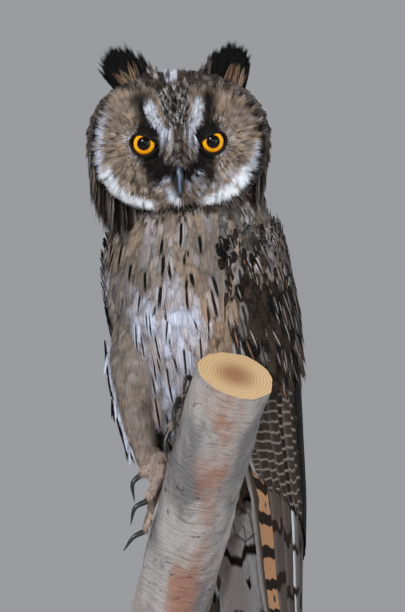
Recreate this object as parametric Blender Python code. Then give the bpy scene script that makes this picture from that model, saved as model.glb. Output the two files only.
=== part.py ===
"""A life-size long-eared owl on a cut branch, held up by a plain display stand.

Metres, +Z up. The owl's face looks along -Y. The origin is the middle of the stand's underside.
The body is modelled upright in a frame of its own (x to the owl's left, y to its back, z to its head)
and is then turned and leaned as one piece, so that the flank and the left wing show from the front.
"""

import math

import bmesh
import bpy
import numpy as np
from mathutils import Matrix, Vector

MM = 0.001
GAP = 0.3 * MM

# Stance of the body and the head
BODY_CENTRE = Vector((0.0, 0.0, 233.4)) * MM
BODY_TURN = math.radians(-34.0)
BODY_LEAN = math.radians(16.4)
HEAD_CENTRE = Vector((-14.9, -35.0, 332.9)) * MM
HEAD_ROLL = math.radians(-1.7)

# Trunk: height, half-width, depth to the breast, depth to the back
TRUNK = (
    (-108, 10, 9, 11),
    (-95, 22, 19, 22),
    (-75, 33, 29, 31),
    (-55, 42, 39, 38),
    (-35, 47.5, 47, 42),
    (-5, 50.5, 53, 45),
    (25, 50.5, 54, 46),
    (55, 50.5, 49, 45),
    (80, 48, 36, 43),
    (105, 40, 18, 36),
)
TRUNK_SIDES = 26
TRUNK_RINGS = 10
NECK_RINGS = 6
NECK_CUT = 38 * MM

# Head: half-sizes, and how square its outline is
HEAD_HALF_WIDTH = 52.5 * MM
HEAD_UP = 41.5 * MM
HEAD_DOWN = 40 * MM
HEAD_OUTLINE_POWER = 2.35
FACE_DEPTH = 26.5 * MM
FACE_POWER = 3.5
NAPE_DEPTH = 45 * MM
NAPE_POWER = 2.3
HEAD_SIDES = 32
FACE_RINGS = 9
NAPE_RINGS = 5
DISC_RIM_AT = 0.86
DISC_RIM_HEIGHT = 2.5 * MM
DISC_DISH = 5 * MM
DISC_DISH_REACH = 17 * MM
BROW_RIDGE = 4.5 * MM
BROW_RIDGE_HALF_WIDTH = 7 * MM

# Eyes and lids
EYE_RADIUS = 8.5 * MM
EYE_SPACING = 37.7 * MM
EYE_DEPTH = 17.8 * MM
EYE_SPLAY = math.radians(4)
CORNEA_BULGE = 0.9 * MM
LID_THICKNESS = 1.1 * MM
LID_EDGE = math.radians(72)
OPENING_HALF_WIDTH = 6.7 * MM
OPENING_DOWN = 6.3 * MM
OPENING_UP = 3.6 * MM
OPENING_SLANT = math.radians(12)

# Wings: the surface that the folded wing lies on, as for the trunk
WING_BED = (
    (-225, 22, 15, 18),
    (-180, 28, 20, 23),
    (-145, 34, 26, 28),
    (-110, 40, 31, 33),
    (-80, 43, 36, 37),
    (-50, 46, 44, 41),
    (-20, 49.5, 51, 44.5),
    (10, 51, 54, 46.5),
    (45, 50, 52, 46),
    (70, 47, 45, 43),
)
WING_MIDDLE = (98, 4)
WING_REACH = (54, 60)
WING_TOP_THICKNESS = 9 * MM
WING_FOOT_THICKNESS = 3.0 * MM
WING_SINK = 1.5 * MM
VANE_THICKNESS = 0.5 * MM
VANE_RISE = 1.2 * MM

# Tail
TAIL_ROOT = -84 * MM
TAIL_TIP = -223 * MM
TAIL_FEATHERS = 10
TAIL_LEVEL = 6 * MM
TAIL_HALF_WIDTH = 11 * MM

# Perch: centre line points, top to bottom as seen from the front, and its thickness
PERCH_LINE = (
    (-25.7, 2, 42),
    (-18.3, -6, 73.4),
    (-12.6, -14, 96.3),
    (-4.6, -30, 130.6),
    (3.4, -48, 159.1),
    (12.0, -66, 187.7),
    (17.0, -76, 203),
)
PERCH_RADIUS = 22 * MM
PERCH_SIDES = 16
PERCH_RINGS = 13

# Stand
BASE_RADIUS = 115 * MM
BASE_HEIGHT = 12 * MM
BASE_EDGE = 3 * MM
ROD_RADIUS = 5 * MM


def clear_scene():
    """Empties the file of its objects."""
    for found in list(bpy.data.objects):
        bpy.data.objects.remove(found)


def finish_of(name, colour, roughness, metallic=0.0):
    """A Principled material."""
    made = bpy.data.materials.new(name)
    made.use_nodes = True
    shader = made.node_tree.nodes["Principled BSDF"]
    shader.inputs["Base Color"].default_value = (*colour, 1)
    shader.inputs["Roughness"].default_value = roughness
    shader.inputs["Metallic"].default_value = metallic
    return made


def make_finishes():
    """Every material of the part, by name."""
    return {
        "plumage": finish_of("plumage", (0.42, 0.35, 0.27), 0.85),
        "breast": finish_of("breast", (0.62, 0.56, 0.48), 0.85),
        "face": finish_of("face", (0.52, 0.43, 0.33), 0.85),
        "flight": finish_of("flight", (0.25, 0.21, 0.17), 0.7),
        "tuft": finish_of("tuft", (0.06, 0.05, 0.045), 0.85),
        "leg": finish_of("leg", (0.55, 0.42, 0.28), 0.85),
        "horn": finish_of("horn", (0.03, 0.03, 0.035), 0.3),
        "eye": finish_of("eye", (0.9, 0.45, 0.02), 0.08),
        "lid": finish_of("lid", (0.03, 0.028, 0.03), 0.6),
        "bark": finish_of("bark", (0.5, 0.46, 0.43), 0.8),
        "base": finish_of("base", (0.16, 0.09, 0.05), 0.4),
        "rod": finish_of("rod", (0.55, 0.55, 0.56), 0.3, 1.0),
    }


def smooth_row(keys, at):
    """The row of values at a place, on a smooth curve through keys whose first column is the place."""
    rows = np.array(keys, float)
    places = rows[:, 0]
    values = rows[:, 1:]
    slopes = np.gradient(values, places, axis=0)
    at = min(max(at, places[0]), places[-1])
    i = min(max(int(np.searchsorted(places, at)) - 1, 0), len(places) - 2)
    step = places[i + 1] - places[i]
    t = (at - places[i]) / step
    rise = t * t * (3 - 2 * t)
    lead = t * (1 - t) ** 2 * step
    trail = t * t * (t - 1) * step
    return values[i] * (1 - rise) + values[i + 1] * rise + slopes[i] * lead + slopes[i + 1] * trail


def shell_point(keys, angle, height, lift, side=1):
    """A point on the round form that keys give, in metres.

    The angle is 0 at the breast, 90 degrees at the side and 180 at the back.
    """
    half, front, back = (v * MM for v in smooth_row(keys, height / MM))
    depth = front if math.cos(angle) > 0 else back
    across = half * math.sin(angle)
    along = -depth * math.cos(angle)
    out = Vector((across / half**2, along / depth**2, 0)).normalized()
    return Vector(((across + out.x * lift) * side, along + out.y * lift, height))


def mesh_object(name, points, faces, finish=None, place=None):
    """An object from points and faces, its faces turned outwards."""
    mesh = bpy.data.meshes.new(name)
    mesh.from_pydata([tuple(p) for p in points], [], faces)
    form = bmesh.new()
    form.from_mesh(mesh)
    bmesh.ops.recalc_face_normals(form, faces=form.faces)
    bmesh.ops.triangulate(form, faces=form.faces)
    form.to_mesh(mesh)
    form.free()
    made = bpy.data.objects.new(name, mesh)
    bpy.context.scene.collection.objects.link(made)
    if place is not None:
        made.matrix_world = place
    if finish is not None:
        mesh.materials.append(finish)
    return made


def ring_faces(rings, sides, first_cap=True, last_cap=True):
    """Faces between rings of points that follow one another, with flat ends."""
    faces = []
    for r in range(rings - 1):
        for s in range(sides):
            a = r * sides + s
            b = r * sides + (s + 1) % sides
            faces.append((a, b, b + sides, a + sides))
    if first_cap:
        faces.append(tuple(reversed(range(sides))))
    if last_cap:
        start = (rings - 1) * sides
        faces.append(tuple(range(start, start + sides)))
    return faces


def pole_faces(rings, sides):
    """Faces of rings closed by a single point at both ends, which are the last two points."""
    faces = ring_faces(rings, sides, False, False)
    near, far = rings * sides, rings * sides + 1
    for s in range(sides):
        after = (s + 1) % sides
        faces.append((near, after, s))
        faces.append((far, (rings - 1) * sides + s, (rings - 1) * sides + after))
    return faces


def curve_points(line, count):
    """Points spread evenly along a smooth curve through a few."""
    knots = np.array([tuple(p) for p in line], float)
    spans = np.r_[0, np.cumsum(np.linalg.norm(np.diff(knots, axis=0), axis=1))]
    keys = np.column_stack([spans, knots])
    return [Vector(smooth_row(keys, at)) for at in np.linspace(0, spans[-1], count)]


def swept(name, line, widths, finish=None, place=None, rings=8, sides=10, flat=1.0, up=(0, 0, 1)):
    """A closed round-ended tube along a curve. Widths are radii along it, and flat squeezes its depth."""
    spots = curve_points(line, rings)
    sizes = np.interp(np.linspace(0, 1, rings), np.linspace(0, 1, len(widths)), widths)
    points = []
    lead = Vector(up)
    for i, spot in enumerate(spots):
        ahead = spots[min(i + 1, rings - 1)] - spots[max(i - 1, 0)]
        ahead.normalize()
        across = ahead.cross(lead)
        if across.length < 0.05:
            across = ahead.cross(Vector((0, 1, 0.2)))
        across.normalize()
        over = across.cross(ahead).normalized()
        for s in range(sides):
            turn = math.tau * s / sides
            points.append(
                spot
                + across * math.cos(turn) * sizes[i]
                + over * math.sin(turn) * sizes[i] * flat
            )
    start = (spots[0] - spots[1]).normalized()
    end = (spots[-1] - spots[-2]).normalized()
    points.append(spots[0] + start * sizes[0] * 0.6)
    points.append(spots[-1] + end * sizes[-1] * 0.6)
    return mesh_object(name, points, pole_faces(rings, sides), finish, place)


def ellipsoid(name, centre, half_sizes, finish=None, place=None, sides=14, rings=8):
    """A closed egg shape."""
    points = []
    for r in range(1, rings):
        down = math.pi * r / rings
        for s in range(sides):
            turn = math.tau * s / sides
            points.append(
                Vector(centre)
                + Vector(
                    (
                        half_sizes[0] * math.sin(down) * math.cos(turn),
                        half_sizes[1] * math.sin(down) * math.sin(turn),
                        half_sizes[2] * math.cos(down),
                    )
                )
            )
    points.append(Vector(centre) + Vector((0, 0, half_sizes[2])))
    points.append(Vector(centre) - Vector((0, 0, half_sizes[2])))
    return mesh_object(name, points, pole_faces(rings - 1, sides), finish, place)


def apply_modifiers(thing):
    """Makes the evaluated shape the object's own."""
    bpy.context.view_layer.update()
    seen = thing.evaluated_get(bpy.context.evaluated_depsgraph_get())
    made = bpy.data.meshes.new_from_object(seen)
    thing.modifiers.clear()
    thing.data = made


def keep_largest(thing):
    """Keeps only the largest closed surface, which fills sealed hollows and drops loose scraps."""
    form = bmesh.new()
    form.from_mesh(thing.data)
    form.faces.ensure_lookup_table()
    seen = set()
    groups = []
    for start in form.faces:
        if start.index in seen:
            continue
        seen.add(start.index)
        group, queue = [], [start]
        while queue:
            face = queue.pop()
            group.append(face)
            for edge in face.edges:
                for other in edge.link_faces:
                    if other.index not in seen:
                        seen.add(other.index)
                        queue.append(other)
        groups.append(group)

    def spread(group):
        spots = [v.co for face in group for v in face.verts]
        low = [min(spot[i] for spot in spots) for i in range(3)]
        high = [max(spot[i] for spot in spots) for i in range(3)]
        return math.dist(low, high)

    groups.sort(key=spread)
    for group in groups[:-1]:
        bmesh.ops.delete(form, geom=group, context="FACES")
    bmesh.ops.triangulate(form, faces=form.faces)
    form.to_mesh(thing.data)
    form.free()


def join(thing, pieces, solver="MANIFOLD"):
    """Fuses pieces into an object with one union, and removes them."""
    group = bpy.data.collections.new(thing.name + "_pieces")
    for piece in pieces:
        group.objects.link(piece)
    union = thing.modifiers.new("union", "BOOLEAN")
    union.operation = "UNION"
    union.operand_type = "COLLECTION"
    union.collection = group
    union.solver = solver
    if solver == "EXACT":
        union.use_self = False
    apply_modifiers(thing)
    for piece in pieces:
        bpy.data.objects.remove(piece)
    bpy.data.collections.remove(group)
    keep_largest(thing)
    return thing


def carve(thing, cutter, solver="MANIFOLD"):
    """Takes a cutter's shape out of an object and leaves the cutter in place."""
    cut = thing.modifiers.new("cut", "BOOLEAN")
    cut.operation = "DIFFERENCE"
    cut.object = cutter
    cut.solver = solver
    apply_modifiers(thing)
    keep_largest(thing)


def grown(thing, by=GAP):
    """A copy of an object whose surface stands out by a little."""
    mesh = thing.data.copy()
    copy = bpy.data.objects.new(thing.name + "_room", mesh)
    bpy.context.scene.collection.objects.link(copy)
    copy.matrix_world = thing.matrix_world.copy()
    moved = [v.co + v.normal * by for v in mesh.vertices]
    for vertex, spot in zip(mesh.vertices, moved):
        vertex.co = spot
    mesh.update()
    return copy


def make_room(thing, *guests, by=GAP):
    """Cuts a seat in an object for each guest, with the gap that touching pieces keep."""
    for guest in guests:
        copy = grown(guest, by)
        carve(thing, copy)
        bpy.data.objects.remove(copy)


def body_frame():
    """Where the upright body's frame stands."""
    turn = Matrix.Rotation(BODY_TURN, 4, "Z")
    lean = Matrix.Rotation(BODY_LEAN, 4, "X")
    return Matrix.Translation(BODY_CENTRE) @ turn @ lean


def head_frame():
    """Where the head's frame stands."""
    return Matrix.Translation(HEAD_CENTRE) @ Matrix.Rotation(HEAD_ROLL, 4, "Y")


def eye_frame(side):
    """An eye's frame, whose -Y axis is the line of sight. Side is 1 at the owl's left."""
    centre = Vector((side * EYE_SPACING / 2, -EYE_DEPTH, 0))
    return head_frame() @ Matrix.Translation(centre) @ Matrix.Rotation(side * EYE_SPLAY, 4, "Z")


def make_trunk(name, finish, low, high, rings=TRUNK_RINGS, lift=0):
    """The length of the trunk between two heights."""
    points = []
    heights = np.linspace(low / MM, high / MM, rings)
    for height in heights:
        for s in range(TRUNK_SIDES):
            points.append(shell_point(TRUNK, math.tau * s / TRUNK_SIDES, height * MM, lift))
    faces = ring_faces(rings, TRUNK_SIDES)
    return mesh_object(name, points, faces, finish, body_frame())


def head_radius(turn):
    """Half-size of the head's outline in a direction, seen from the front."""
    half_height = HEAD_UP if math.sin(turn) > 0 else HEAD_DOWN
    wide = abs(math.cos(turn) / HEAD_HALF_WIDTH) ** HEAD_OUTLINE_POWER
    tall = abs(math.sin(turn) / half_height) ** HEAD_OUTLINE_POWER
    return (wide + tall) ** (-1 / HEAD_OUTLINE_POWER)


def face_point(turn, share):
    """A point of the face: dished round each eye, with a raised rim and a brow ridge."""
    radius = head_radius(turn) * share
    x, z = radius * math.cos(turn), radius * math.sin(turn)
    depth = FACE_DEPTH * (1 - min(share, 1) ** FACE_POWER) ** (1 / FACE_POWER)
    edge_fade = 1 - share**8
    for side in (-1, 1):
        away = math.hypot(x - side * EYE_SPACING / 2, z) / DISC_DISH_REACH
        depth -= DISC_DISH * math.exp(-(away**2)) * edge_fade
    depth += BROW_RIDGE * math.exp(-((x / BROW_RIDGE_HALF_WIDTH) ** 2)) * edge_fade
    depth += DISC_RIM_HEIGHT * math.exp(-(((share - DISC_RIM_AT) / 0.07) ** 2)) * edge_fade
    return Vector((x, -depth, z))


def nape_point(turn, share):
    """A point of the back of the head."""
    radius = head_radius(turn) * share
    depth = NAPE_DEPTH * (1 - share**NAPE_POWER) ** (1 / NAPE_POWER)
    return Vector((radius * math.cos(turn), depth, radius * math.sin(turn)))


def make_head(finish):
    """The head, from rings about the line from the face to the nape."""
    face_shares = [math.sin(math.pi / 2 * (i + 1) / FACE_RINGS) for i in range(FACE_RINGS)]
    face_shares = [s * 0.5 + (i + 1) / FACE_RINGS * 0.5 for i, s in enumerate(face_shares)]
    nape_shares = [math.cos(math.pi / 2 * (i + 1) / (NAPE_RINGS + 1)) for i in range(NAPE_RINGS)]
    points = []
    for share in face_shares:
        points += [face_point(math.tau * s / HEAD_SIDES, share) for s in range(HEAD_SIDES)]
    for share in nape_shares:
        points += [nape_point(math.tau * s / HEAD_SIDES, share) for s in range(HEAD_SIDES)]
    points.append(face_point(0, 0))
    points.append(nape_point(0, 0))
    faces = pole_faces(FACE_RINGS + NAPE_RINGS, HEAD_SIDES)
    return mesh_object("head", points, faces, finish, head_frame())


def make_eye(side, finish):
    """An eyeball with the bulge of its cornea."""
    sides, rings = 14, 9
    points = []
    for r in range(1, rings):
        off = math.pi * r / rings
        radius = EYE_RADIUS + CORNEA_BULGE * max(0.0, math.cos(off)) ** 6
        for s in range(sides):
            turn = math.tau * s / sides
            points.append(
                Vector((math.sin(off) * math.cos(turn), -math.cos(off), math.sin(off) * math.sin(turn)))
                * radius
            )
    points.append(Vector((0, -EYE_RADIUS - CORNEA_BULGE, 0)))
    points.append(Vector((0, EYE_RADIUS, 0)))
    name = "eye_left" if side > 0 else "eye_right"
    return mesh_object(name, points, pole_faces(rings - 1, sides), finish, eye_frame(side))


def lid_opening(turn, side):
    """Angle off the line of sight where the lids' edge lies, in a direction round the eye."""
    turned = turn - OPENING_SLANT * side
    half_height = OPENING_UP if math.sin(turned) > 0 else OPENING_DOWN
    reach = ((math.cos(turned) / OPENING_HALF_WIDTH) ** 2 + (math.sin(turned) / half_height) ** 2) ** -0.5
    return math.asin(min(0.99, reach / (EYE_RADIUS + GAP)))


def make_lids(side, finish):
    """Both lids of an eye, as one curved shell with an opening."""
    sides = 22
    inner = EYE_RADIUS + GAP + CORNEA_BULGE * 0.25
    steps = (0, 0.45, 1)
    points = []
    for radius, order in ((inner, steps[::-1]), (inner + LID_THICKNESS, steps)):
        for step in order:
            for s in range(sides):
                turn = math.tau * s / sides
                start = lid_opening(turn, side)
                off = start + (LID_EDGE - start) * step
                bulge = 1 if step else 0.985
                aim = Vector((math.sin(off) * math.cos(turn), -math.cos(off), math.sin(off) * math.sin(turn)))
                points.append(aim * radius * bulge if radius > inner else aim * radius)
    rings = 2 * len(steps)
    faces = ring_faces(rings, sides, False, False)
    for s in range(sides):
        after = (s + 1) % sides
        faces.append(((rings - 1) * sides + s, (rings - 1) * sides + after, after, s))
    name = "eyelids_left" if side > 0 else "eyelids_right"
    return mesh_object(name, points, faces, finish, eye_frame(side))


def eye_socket(side):
    """The room that an eye and its lids take in the head."""
    sides = 24
    deep = EYE_RADIUS + GAP
    wide = EYE_RADIUS + GAP + CORNEA_BULGE * 0.25 + LID_THICKNESS + GAP
    step = LID_EDGE + math.radians(3)
    profile = [(deep, math.radians(a)) for a in (168, 150, 130, 110, 92)]
    profile += [(deep, step), (wide, step)]
    profile += [(wide, math.radians(a)) for a in (62, 50)]
    profile = [(r * math.sin(a), -r * math.cos(a)) for r, a in profile]
    profile.append((profile[-1][0], -wide * 2))
    points = []
    for radius, depth in profile:
        for s in range(sides):
            turn = math.tau * s / sides
            points.append(Vector((radius * math.cos(turn), depth, radius * math.sin(turn))))
    return mesh_object("socket", points, ring_faces(len(profile), sides), None, eye_frame(side))


def make_bill(finish):
    """The hooked upper bill with its nostrils, and the lower bill behind it."""
    upper_line = [(0, -22, -3), (0, -32, -6), (0, -37.5, -12), (0, -39.5, -19), (0, -38, -25.5), (0, -35.5, -30)]
    upper_widths = [5.2, 5.2, 5.0, 4.6, 3.0, 0.5]
    lower_line = [(0, -20, -15), (0, -26, -17), (0, -30.5, -20), (0, -33.5, -24)]
    lower_widths = [4.4, 4.0, 3.0, 0.9]
    upper = swept(
        "bill_upper",
        [Vector(p) * MM for p in upper_line],
        [w * MM for w in upper_widths],
        finish,
        head_frame(),
        rings=10,
        sides=12,
        flat=0.95,
    )
    for side in (-1, 1):
        nostril = ellipsoid(
            "nostril",
            Vector((side * 4.7, -34.5, -8.5)) * MM,
            Vector((1.1, 1.1, 1.4)) * MM,
            None,
            head_frame(),
            sides=8,
            rings=6,
        )
        carve(upper, nostril)
        bpy.data.objects.remove(nostril)
    lower = swept(
        "bill_lower",
        [Vector(p) * MM for p in lower_line],
        [w * MM for w in lower_widths],
        finish,
        head_frame(),
        rings=7,
        sides=10,
        flat=0.6,
    )
    make_room(lower, upper)
    return upper, lower


def vane_width(share):
    """Width of a feather along it, as a share of its widest."""
    return smooth_row(((0, 0.35), (0.25, 0.9), (0.6, 1.0), (0.85, 0.85), (1, 0.4)), share)[0]


def vane(bed, root, tip, half_width, lifts, rise, rows=5, columns=3, thickness=VANE_THICKNESS):
    """A thin feather that lies on a bed from root to tip, with one edge higher than the other.

    The bed gives a point from a place (across, along), a distance sideways and a lift.
    """
    points = []
    for k in range(rows):
        share = k / (rows - 1)
        across = root[0] + (tip[0] - root[0]) * share
        along = root[1] + (tip[1] - root[1]) * share
        half = half_width * vane_width(share)
        lift = np.interp(share, np.linspace(0, 1, len(lifts)), lifts)
        for face in (0.5, -0.5):
            columns_here = range(columns) if face > 0 else reversed(range(columns))
            for c in columns_here:
                place = 2 * c / (columns - 1) - 1
                points.append(
                    bed(across, along, place * half, lift + place * rise / 2 + face * thickness)
                )
    ring = 2 * columns
    faces = []
    for k in range(rows - 1):
        for s in range(ring):
            a, b = k * ring + s, k * ring + (s + 1) % ring
            c, d = b + ring, a + ring
            mirrored = s >= columns
            if mirrored:
                faces += [(a, b, d), (b, c, d)]
            else:
                faces += [(a, b, c), (a, c, d)]
    for start in (0, (rows - 1) * ring):
        for c in range(columns - 1):
            a, b = start + c, start + c + 1
            other_a, other_b = start + ring - 1 - c, start + ring - 2 - c
            faces += [(a, b, other_b), (a, other_b, other_a)]
    return mesh_object("vane", points, faces)


def wing_core_height(angle, height):
    """How thick the wing's core is at an angle and a height in millimetres, or nothing past its edge."""
    off = ((angle - WING_MIDDLE[0]) / WING_REACH[0], (height - WING_MIDDLE[1]) / WING_REACH[1])
    reach = (abs(off[0]) ** 2.4 + abs(off[1]) ** 2.4) ** (1 / 2.4)
    up = min(max(0.5 + off[1] / 2, 0), 1)
    tall = WING_FOOT_THICKNESS + (WING_TOP_THICKNESS - WING_FOOT_THICKNESS) * up
    return tall * max(0.0, 1 - reach**3) ** 0.5


def make_wing(side, finish):
    """A folded wing: a core against the flank, and overlapping feathers in tiers."""
    name = "wing_left" if side > 0 else "wing_right"
    place = body_frame()
    sides, rings = 18, 4
    points = []
    for sign in (1, -1):
        shares = [(i + 1) / rings for i in range(rings)]
        if sign < 0:
            shares = shares[-2::-1]
        for share in shares:
            for s in range(sides):
                turn = math.tau * s / sides
                power = 2 / 2.4
                across = math.copysign(abs(math.cos(turn)) ** power, math.cos(turn)) * share
                along = math.copysign(abs(math.sin(turn)) ** power, math.sin(turn)) * share
                angle = WING_MIDDLE[0] + WING_REACH[0] * across
                height = WING_MIDDLE[1] + WING_REACH[1] * along
                lift = wing_core_height(angle, height) if sign > 0 else -WING_SINK * (1 - share**4)
                points.append(shell_point(WING_BED, math.radians(angle), height * MM, lift, side))
    middle = (math.radians(WING_MIDDLE[0]), WING_MIDDLE[1] * MM)
    points.append(shell_point(WING_BED, *middle, wing_core_height(*WING_MIDDLE), side))
    points.append(shell_point(WING_BED, *middle, -WING_SINK, side))
    core = mesh_object(name, points, pole_faces(2 * rings - 1, sides), finish, place)

    def bed(angle, height, sideways, lift):
        half = smooth_row(WING_BED, height)[0] * MM
        turned = math.radians(angle) + sideways / half
        return shell_point(WING_BED, turned, height * MM, lift, side)

    tiers = (
        # count, root angles, root heights, tip angles, tip heights, half-width, lift, rows
        (7, (56, 104), (-24, -30), (62, 130), (-186, -222), 8.2, 0.9, 5),
        (7, (56, 136), (0, -8), (54, 146), (-92, -160), 8.8, 3.1, 4),
        (6, (60, 137), (18, 12), (56, 143), (-44, -66), 9.2, 5.3, 4),
        (5, (66, 135), (36, 34), (64, 140), (-8, -20), 10.0, 7.5, 3),
    )
    vanes = []
    for count, root_angles, root_heights, tip_angles, tip_heights, half, lift, rows in tiers:
        for i in range(count):
            share = i / (count - 1)
            root = (
                root_angles[0] + (root_angles[1] - root_angles[0]) * share,
                root_heights[0] + (root_heights[1] - root_heights[0]) * share,
            )
            tip = (
                tip_angles[0] + (tip_angles[1] - tip_angles[0]) * share,
                tip_heights[0] + (tip_heights[1] - tip_heights[0]) * share,
            )
            sunk = wing_core_height(*root) * 0.5
            lifts = [min(sunk, lift * MM)] + [lift * MM] * 3
            piece = vane(bed, root, tip, half * MM, lifts, -VANE_RISE, rows)
            piece.matrix_world = place
            vanes.append(piece)
    return core, vanes


def make_tail(finish):
    """The tail: a core of coverts, and long feathers that lie over one another from the middle out."""
    place = body_frame()
    core = ellipsoid(
        "tail",
        Vector((0, TAIL_LEVEL, -100 * MM)),
        Vector((19, 10, 30)) * MM,
        finish,
        place,
        sides=14,
        rings=7,
    )

    def bed(across, along, sideways, lift):
        x = (across + sideways / MM) * MM
        arch = -0.0035 * (x / MM) ** 2 * MM
        return Vector((x, TAIL_LEVEL + arch + lift, along * MM))

    vanes = []
    pairs = TAIL_FEATHERS // 2
    for i in range(pairs):
        for side in (-1, 1):
            spread = 2.0 + 3.6 * i
            level = (2.6 - 1.15 * i - (0.55 if side > 0 else 0)) * MM
            root = (side * spread * 0.45, TAIL_ROOT / MM - 10)
            tip = (side * spread, TAIL_TIP / MM + 1.5 * i)
            lifts = [level * 0.8, level, level, level]
            vanes.append(vane(bed, root, tip, TAIL_HALF_WIDTH, lifts, side * -0.3 * MM, 4, 3))
    for level, length, count in ((-7.4, -142, 3), (6.4, -136, 3)):
        for i in range(count):
            x = (i - (count - 1) / 2) * 8
            step = 0.9 * (i % 2)
            lift = (level + math.copysign(step, level)) * MM
            lifts = [lift * 0.7, lift, lift]
            vanes.append(vane(bed, (x * 0.7, -100), (x, length + 4 * (i % 2)), 6.5 * MM, lifts, 0, 3, 3))
    for piece in vanes:
        piece.matrix_world = place
    return core, vanes


def make_tuft(side, finish):
    """An ear tuft: long feathers that fan from one root on the crown."""
    name = "ear_tuft_left" if side > 0 else "ear_tuft_right"
    place = head_frame()
    root = Vector((25.0 if side > 0 else -24.0, 2, 31)) * MM
    lean = math.radians(6 if side > 0 else 12)
    core = ellipsoid(name, root, Vector((10, 5.5, 8)) * MM, finish, place, sides=14, rings=8)
    count = 6
    vanes = []
    for i in range(count):
        share = i / (count - 1) * 2 - 1
        angle = (lean + math.radians(36) * share) * side
        length = (27 - 6 * share**2) * MM
        start = root + Vector((side * share * 6.0, 0, -1)) * MM
        depth = (1.15 * (i - (count - 1) / 2)) * MM
        aim = Vector((math.sin(angle), 0, math.cos(angle)))
        across = Vector((math.cos(angle), 0, -math.sin(angle)))

        def bed(_, along, sideways, lift, start=start, aim=aim, across=across, length=length, depth=depth):
            cup = 0.02 * (sideways / MM) ** 2 * MM
            bend = 3.0 * MM * along**2
            return start + aim * along * length + across * sideways + Vector((0, depth + lift - cup + bend, 0))

        piece = vane(bed, (0, 0), (0, 1), 4.6 * MM, [0, 0], 0, 5, 3, 0.6 * MM)
        piece.matrix_world = place
        vanes.append(piece)
    return core, vanes


def perch_place(height, angle, out):
    """A point beside the perch: angle 0 is its left side as seen from the front, 90 degrees its upper side."""
    spots = curve_points([Vector(p) * MM for p in PERCH_LINE], 60)
    i = min(range(1, len(spots) - 1), key=lambda n: abs(spots[n].z - height * MM))
    ahead = (spots[i + 1] - spots[i - 1]).normalized()
    left = Vector((0, 0, 1)).cross(ahead)
    left = ahead.cross(Vector((0, 1, 0))).normalized()
    if left.x > 0:
        left.negate()
    upper = ahead.cross(left).normalized()
    if upper.z < 0:
        upper.negate()
    turn = math.radians(angle)
    return spots[i] + (left * math.cos(turn) + upper * math.sin(turn)) * (PERCH_RADIUS + out * MM)


def make_perch(finish):
    """A cut length of branch, with slow swellings along and round it."""
    spots = curve_points([Vector(p) * MM for p in PERCH_LINE], PERCH_RINGS)
    points = []
    for i, spot in enumerate(spots):
        ahead = (spots[min(i + 1, PERCH_RINGS - 1)] - spots[max(i - 1, 0)]).normalized()
        across = ahead.cross(Vector((0, 1, 0))).normalized()
        over = across.cross(ahead).normalized()
        for s in range(PERCH_SIDES):
            turn = math.tau * s / PERCH_SIDES
            swell = 1 + 0.02 * math.sin(3 * turn + 0.7 * i) + 0.015 * math.sin(1.9 * i + turn)
            points.append(spot + (across * math.cos(turn) + over * math.sin(turn)) * PERCH_RADIUS * swell)
    faces = ring_faces(PERCH_RINGS, PERCH_SIDES)
    return mesh_object("perch", points, faces, finish)


def make_leg(name, line, widths, finish):
    """The feathered thigh and shank of one leg."""
    return swept(name, [Vector(p) * MM for p in line], [w * MM for w in widths], finish, rings=8, sides=14)


def make_foot(side_name, ankle, sole, toes, finishes):
    """A feathered foot with its toes fused to it, and a separate claw on each toe."""
    foot = swept(
        "foot_" + side_name,
        [Vector(ankle) * MM, (Vector(ankle) + Vector(sole)) * 0.5 * MM, Vector(sole) * MM],
        [6.0 * MM, 6.2 * MM, 6.2 * MM],
        finishes["leg"],
        rings=5,
        sides=12,
    )
    pieces, claws = [], []
    for number, (line, claw_line) in enumerate(toes, 1):
        toe_line = [Vector(sole) * MM] + [Vector(p) * MM for p in line]
        pieces.append(swept("toe", toe_line, [4.6 * MM, 4.3 * MM, 3.9 * MM, 3.2 * MM], rings=5, sides=8))
        claw_points = [Vector(line[-1]) * MM] + [Vector(p) * MM for p in claw_line]
        claws.append(
            swept(
                f"claw_{side_name}_{number}",
                claw_points,
                [2.0 * MM, 1.7 * MM, 1.2 * MM, 0.35 * MM],
                finishes["horn"],
                rings=6,
                sides=6,
            )
        )
    join(foot, pieces)
    return foot, claws


def make_stand(finishes):
    """The round base, and the rod that holds up the perch."""
    profile = (
        (BASE_RADIUS - BASE_EDGE * 0.4, 0),
        (BASE_RADIUS, BASE_EDGE * 0.4),
        (BASE_RADIUS, BASE_HEIGHT - BASE_EDGE),
        (BASE_RADIUS - BASE_EDGE * 0.3, BASE_HEIGHT - BASE_EDGE * 0.3),
        (BASE_RADIUS - BASE_EDGE, BASE_HEIGHT),
    )
    sides = 36
    points = []
    for radius, height in profile:
        for s in range(sides):
            turn = math.tau * s / sides
            points.append(Vector((radius * math.cos(turn), radius * math.sin(turn), height)))
    base = mesh_object("stand_base", points, ring_faces(len(profile), sides), finishes["base"])
    foot = Vector(PERCH_LINE[0]) * MM
    rod_sides = 16
    rod_points = []
    for height in (BASE_HEIGHT + GAP, foot.z + 18 * MM):
        for s in range(rod_sides):
            turn = math.tau * s / rod_sides
            rod_points.append(
                Vector((foot.x + ROD_RADIUS * math.cos(turn), foot.y + ROD_RADIUS * math.sin(turn), height))
            )
    rod = mesh_object("stand_rod", rod_points, ring_faces(2, rod_sides), finishes["rod"])
    return base, rod


def give_way(thing, *rooms):
    """Cuts an object back from the room that its neighbours take."""
    for room in rooms:
        carve(thing, room)


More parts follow.
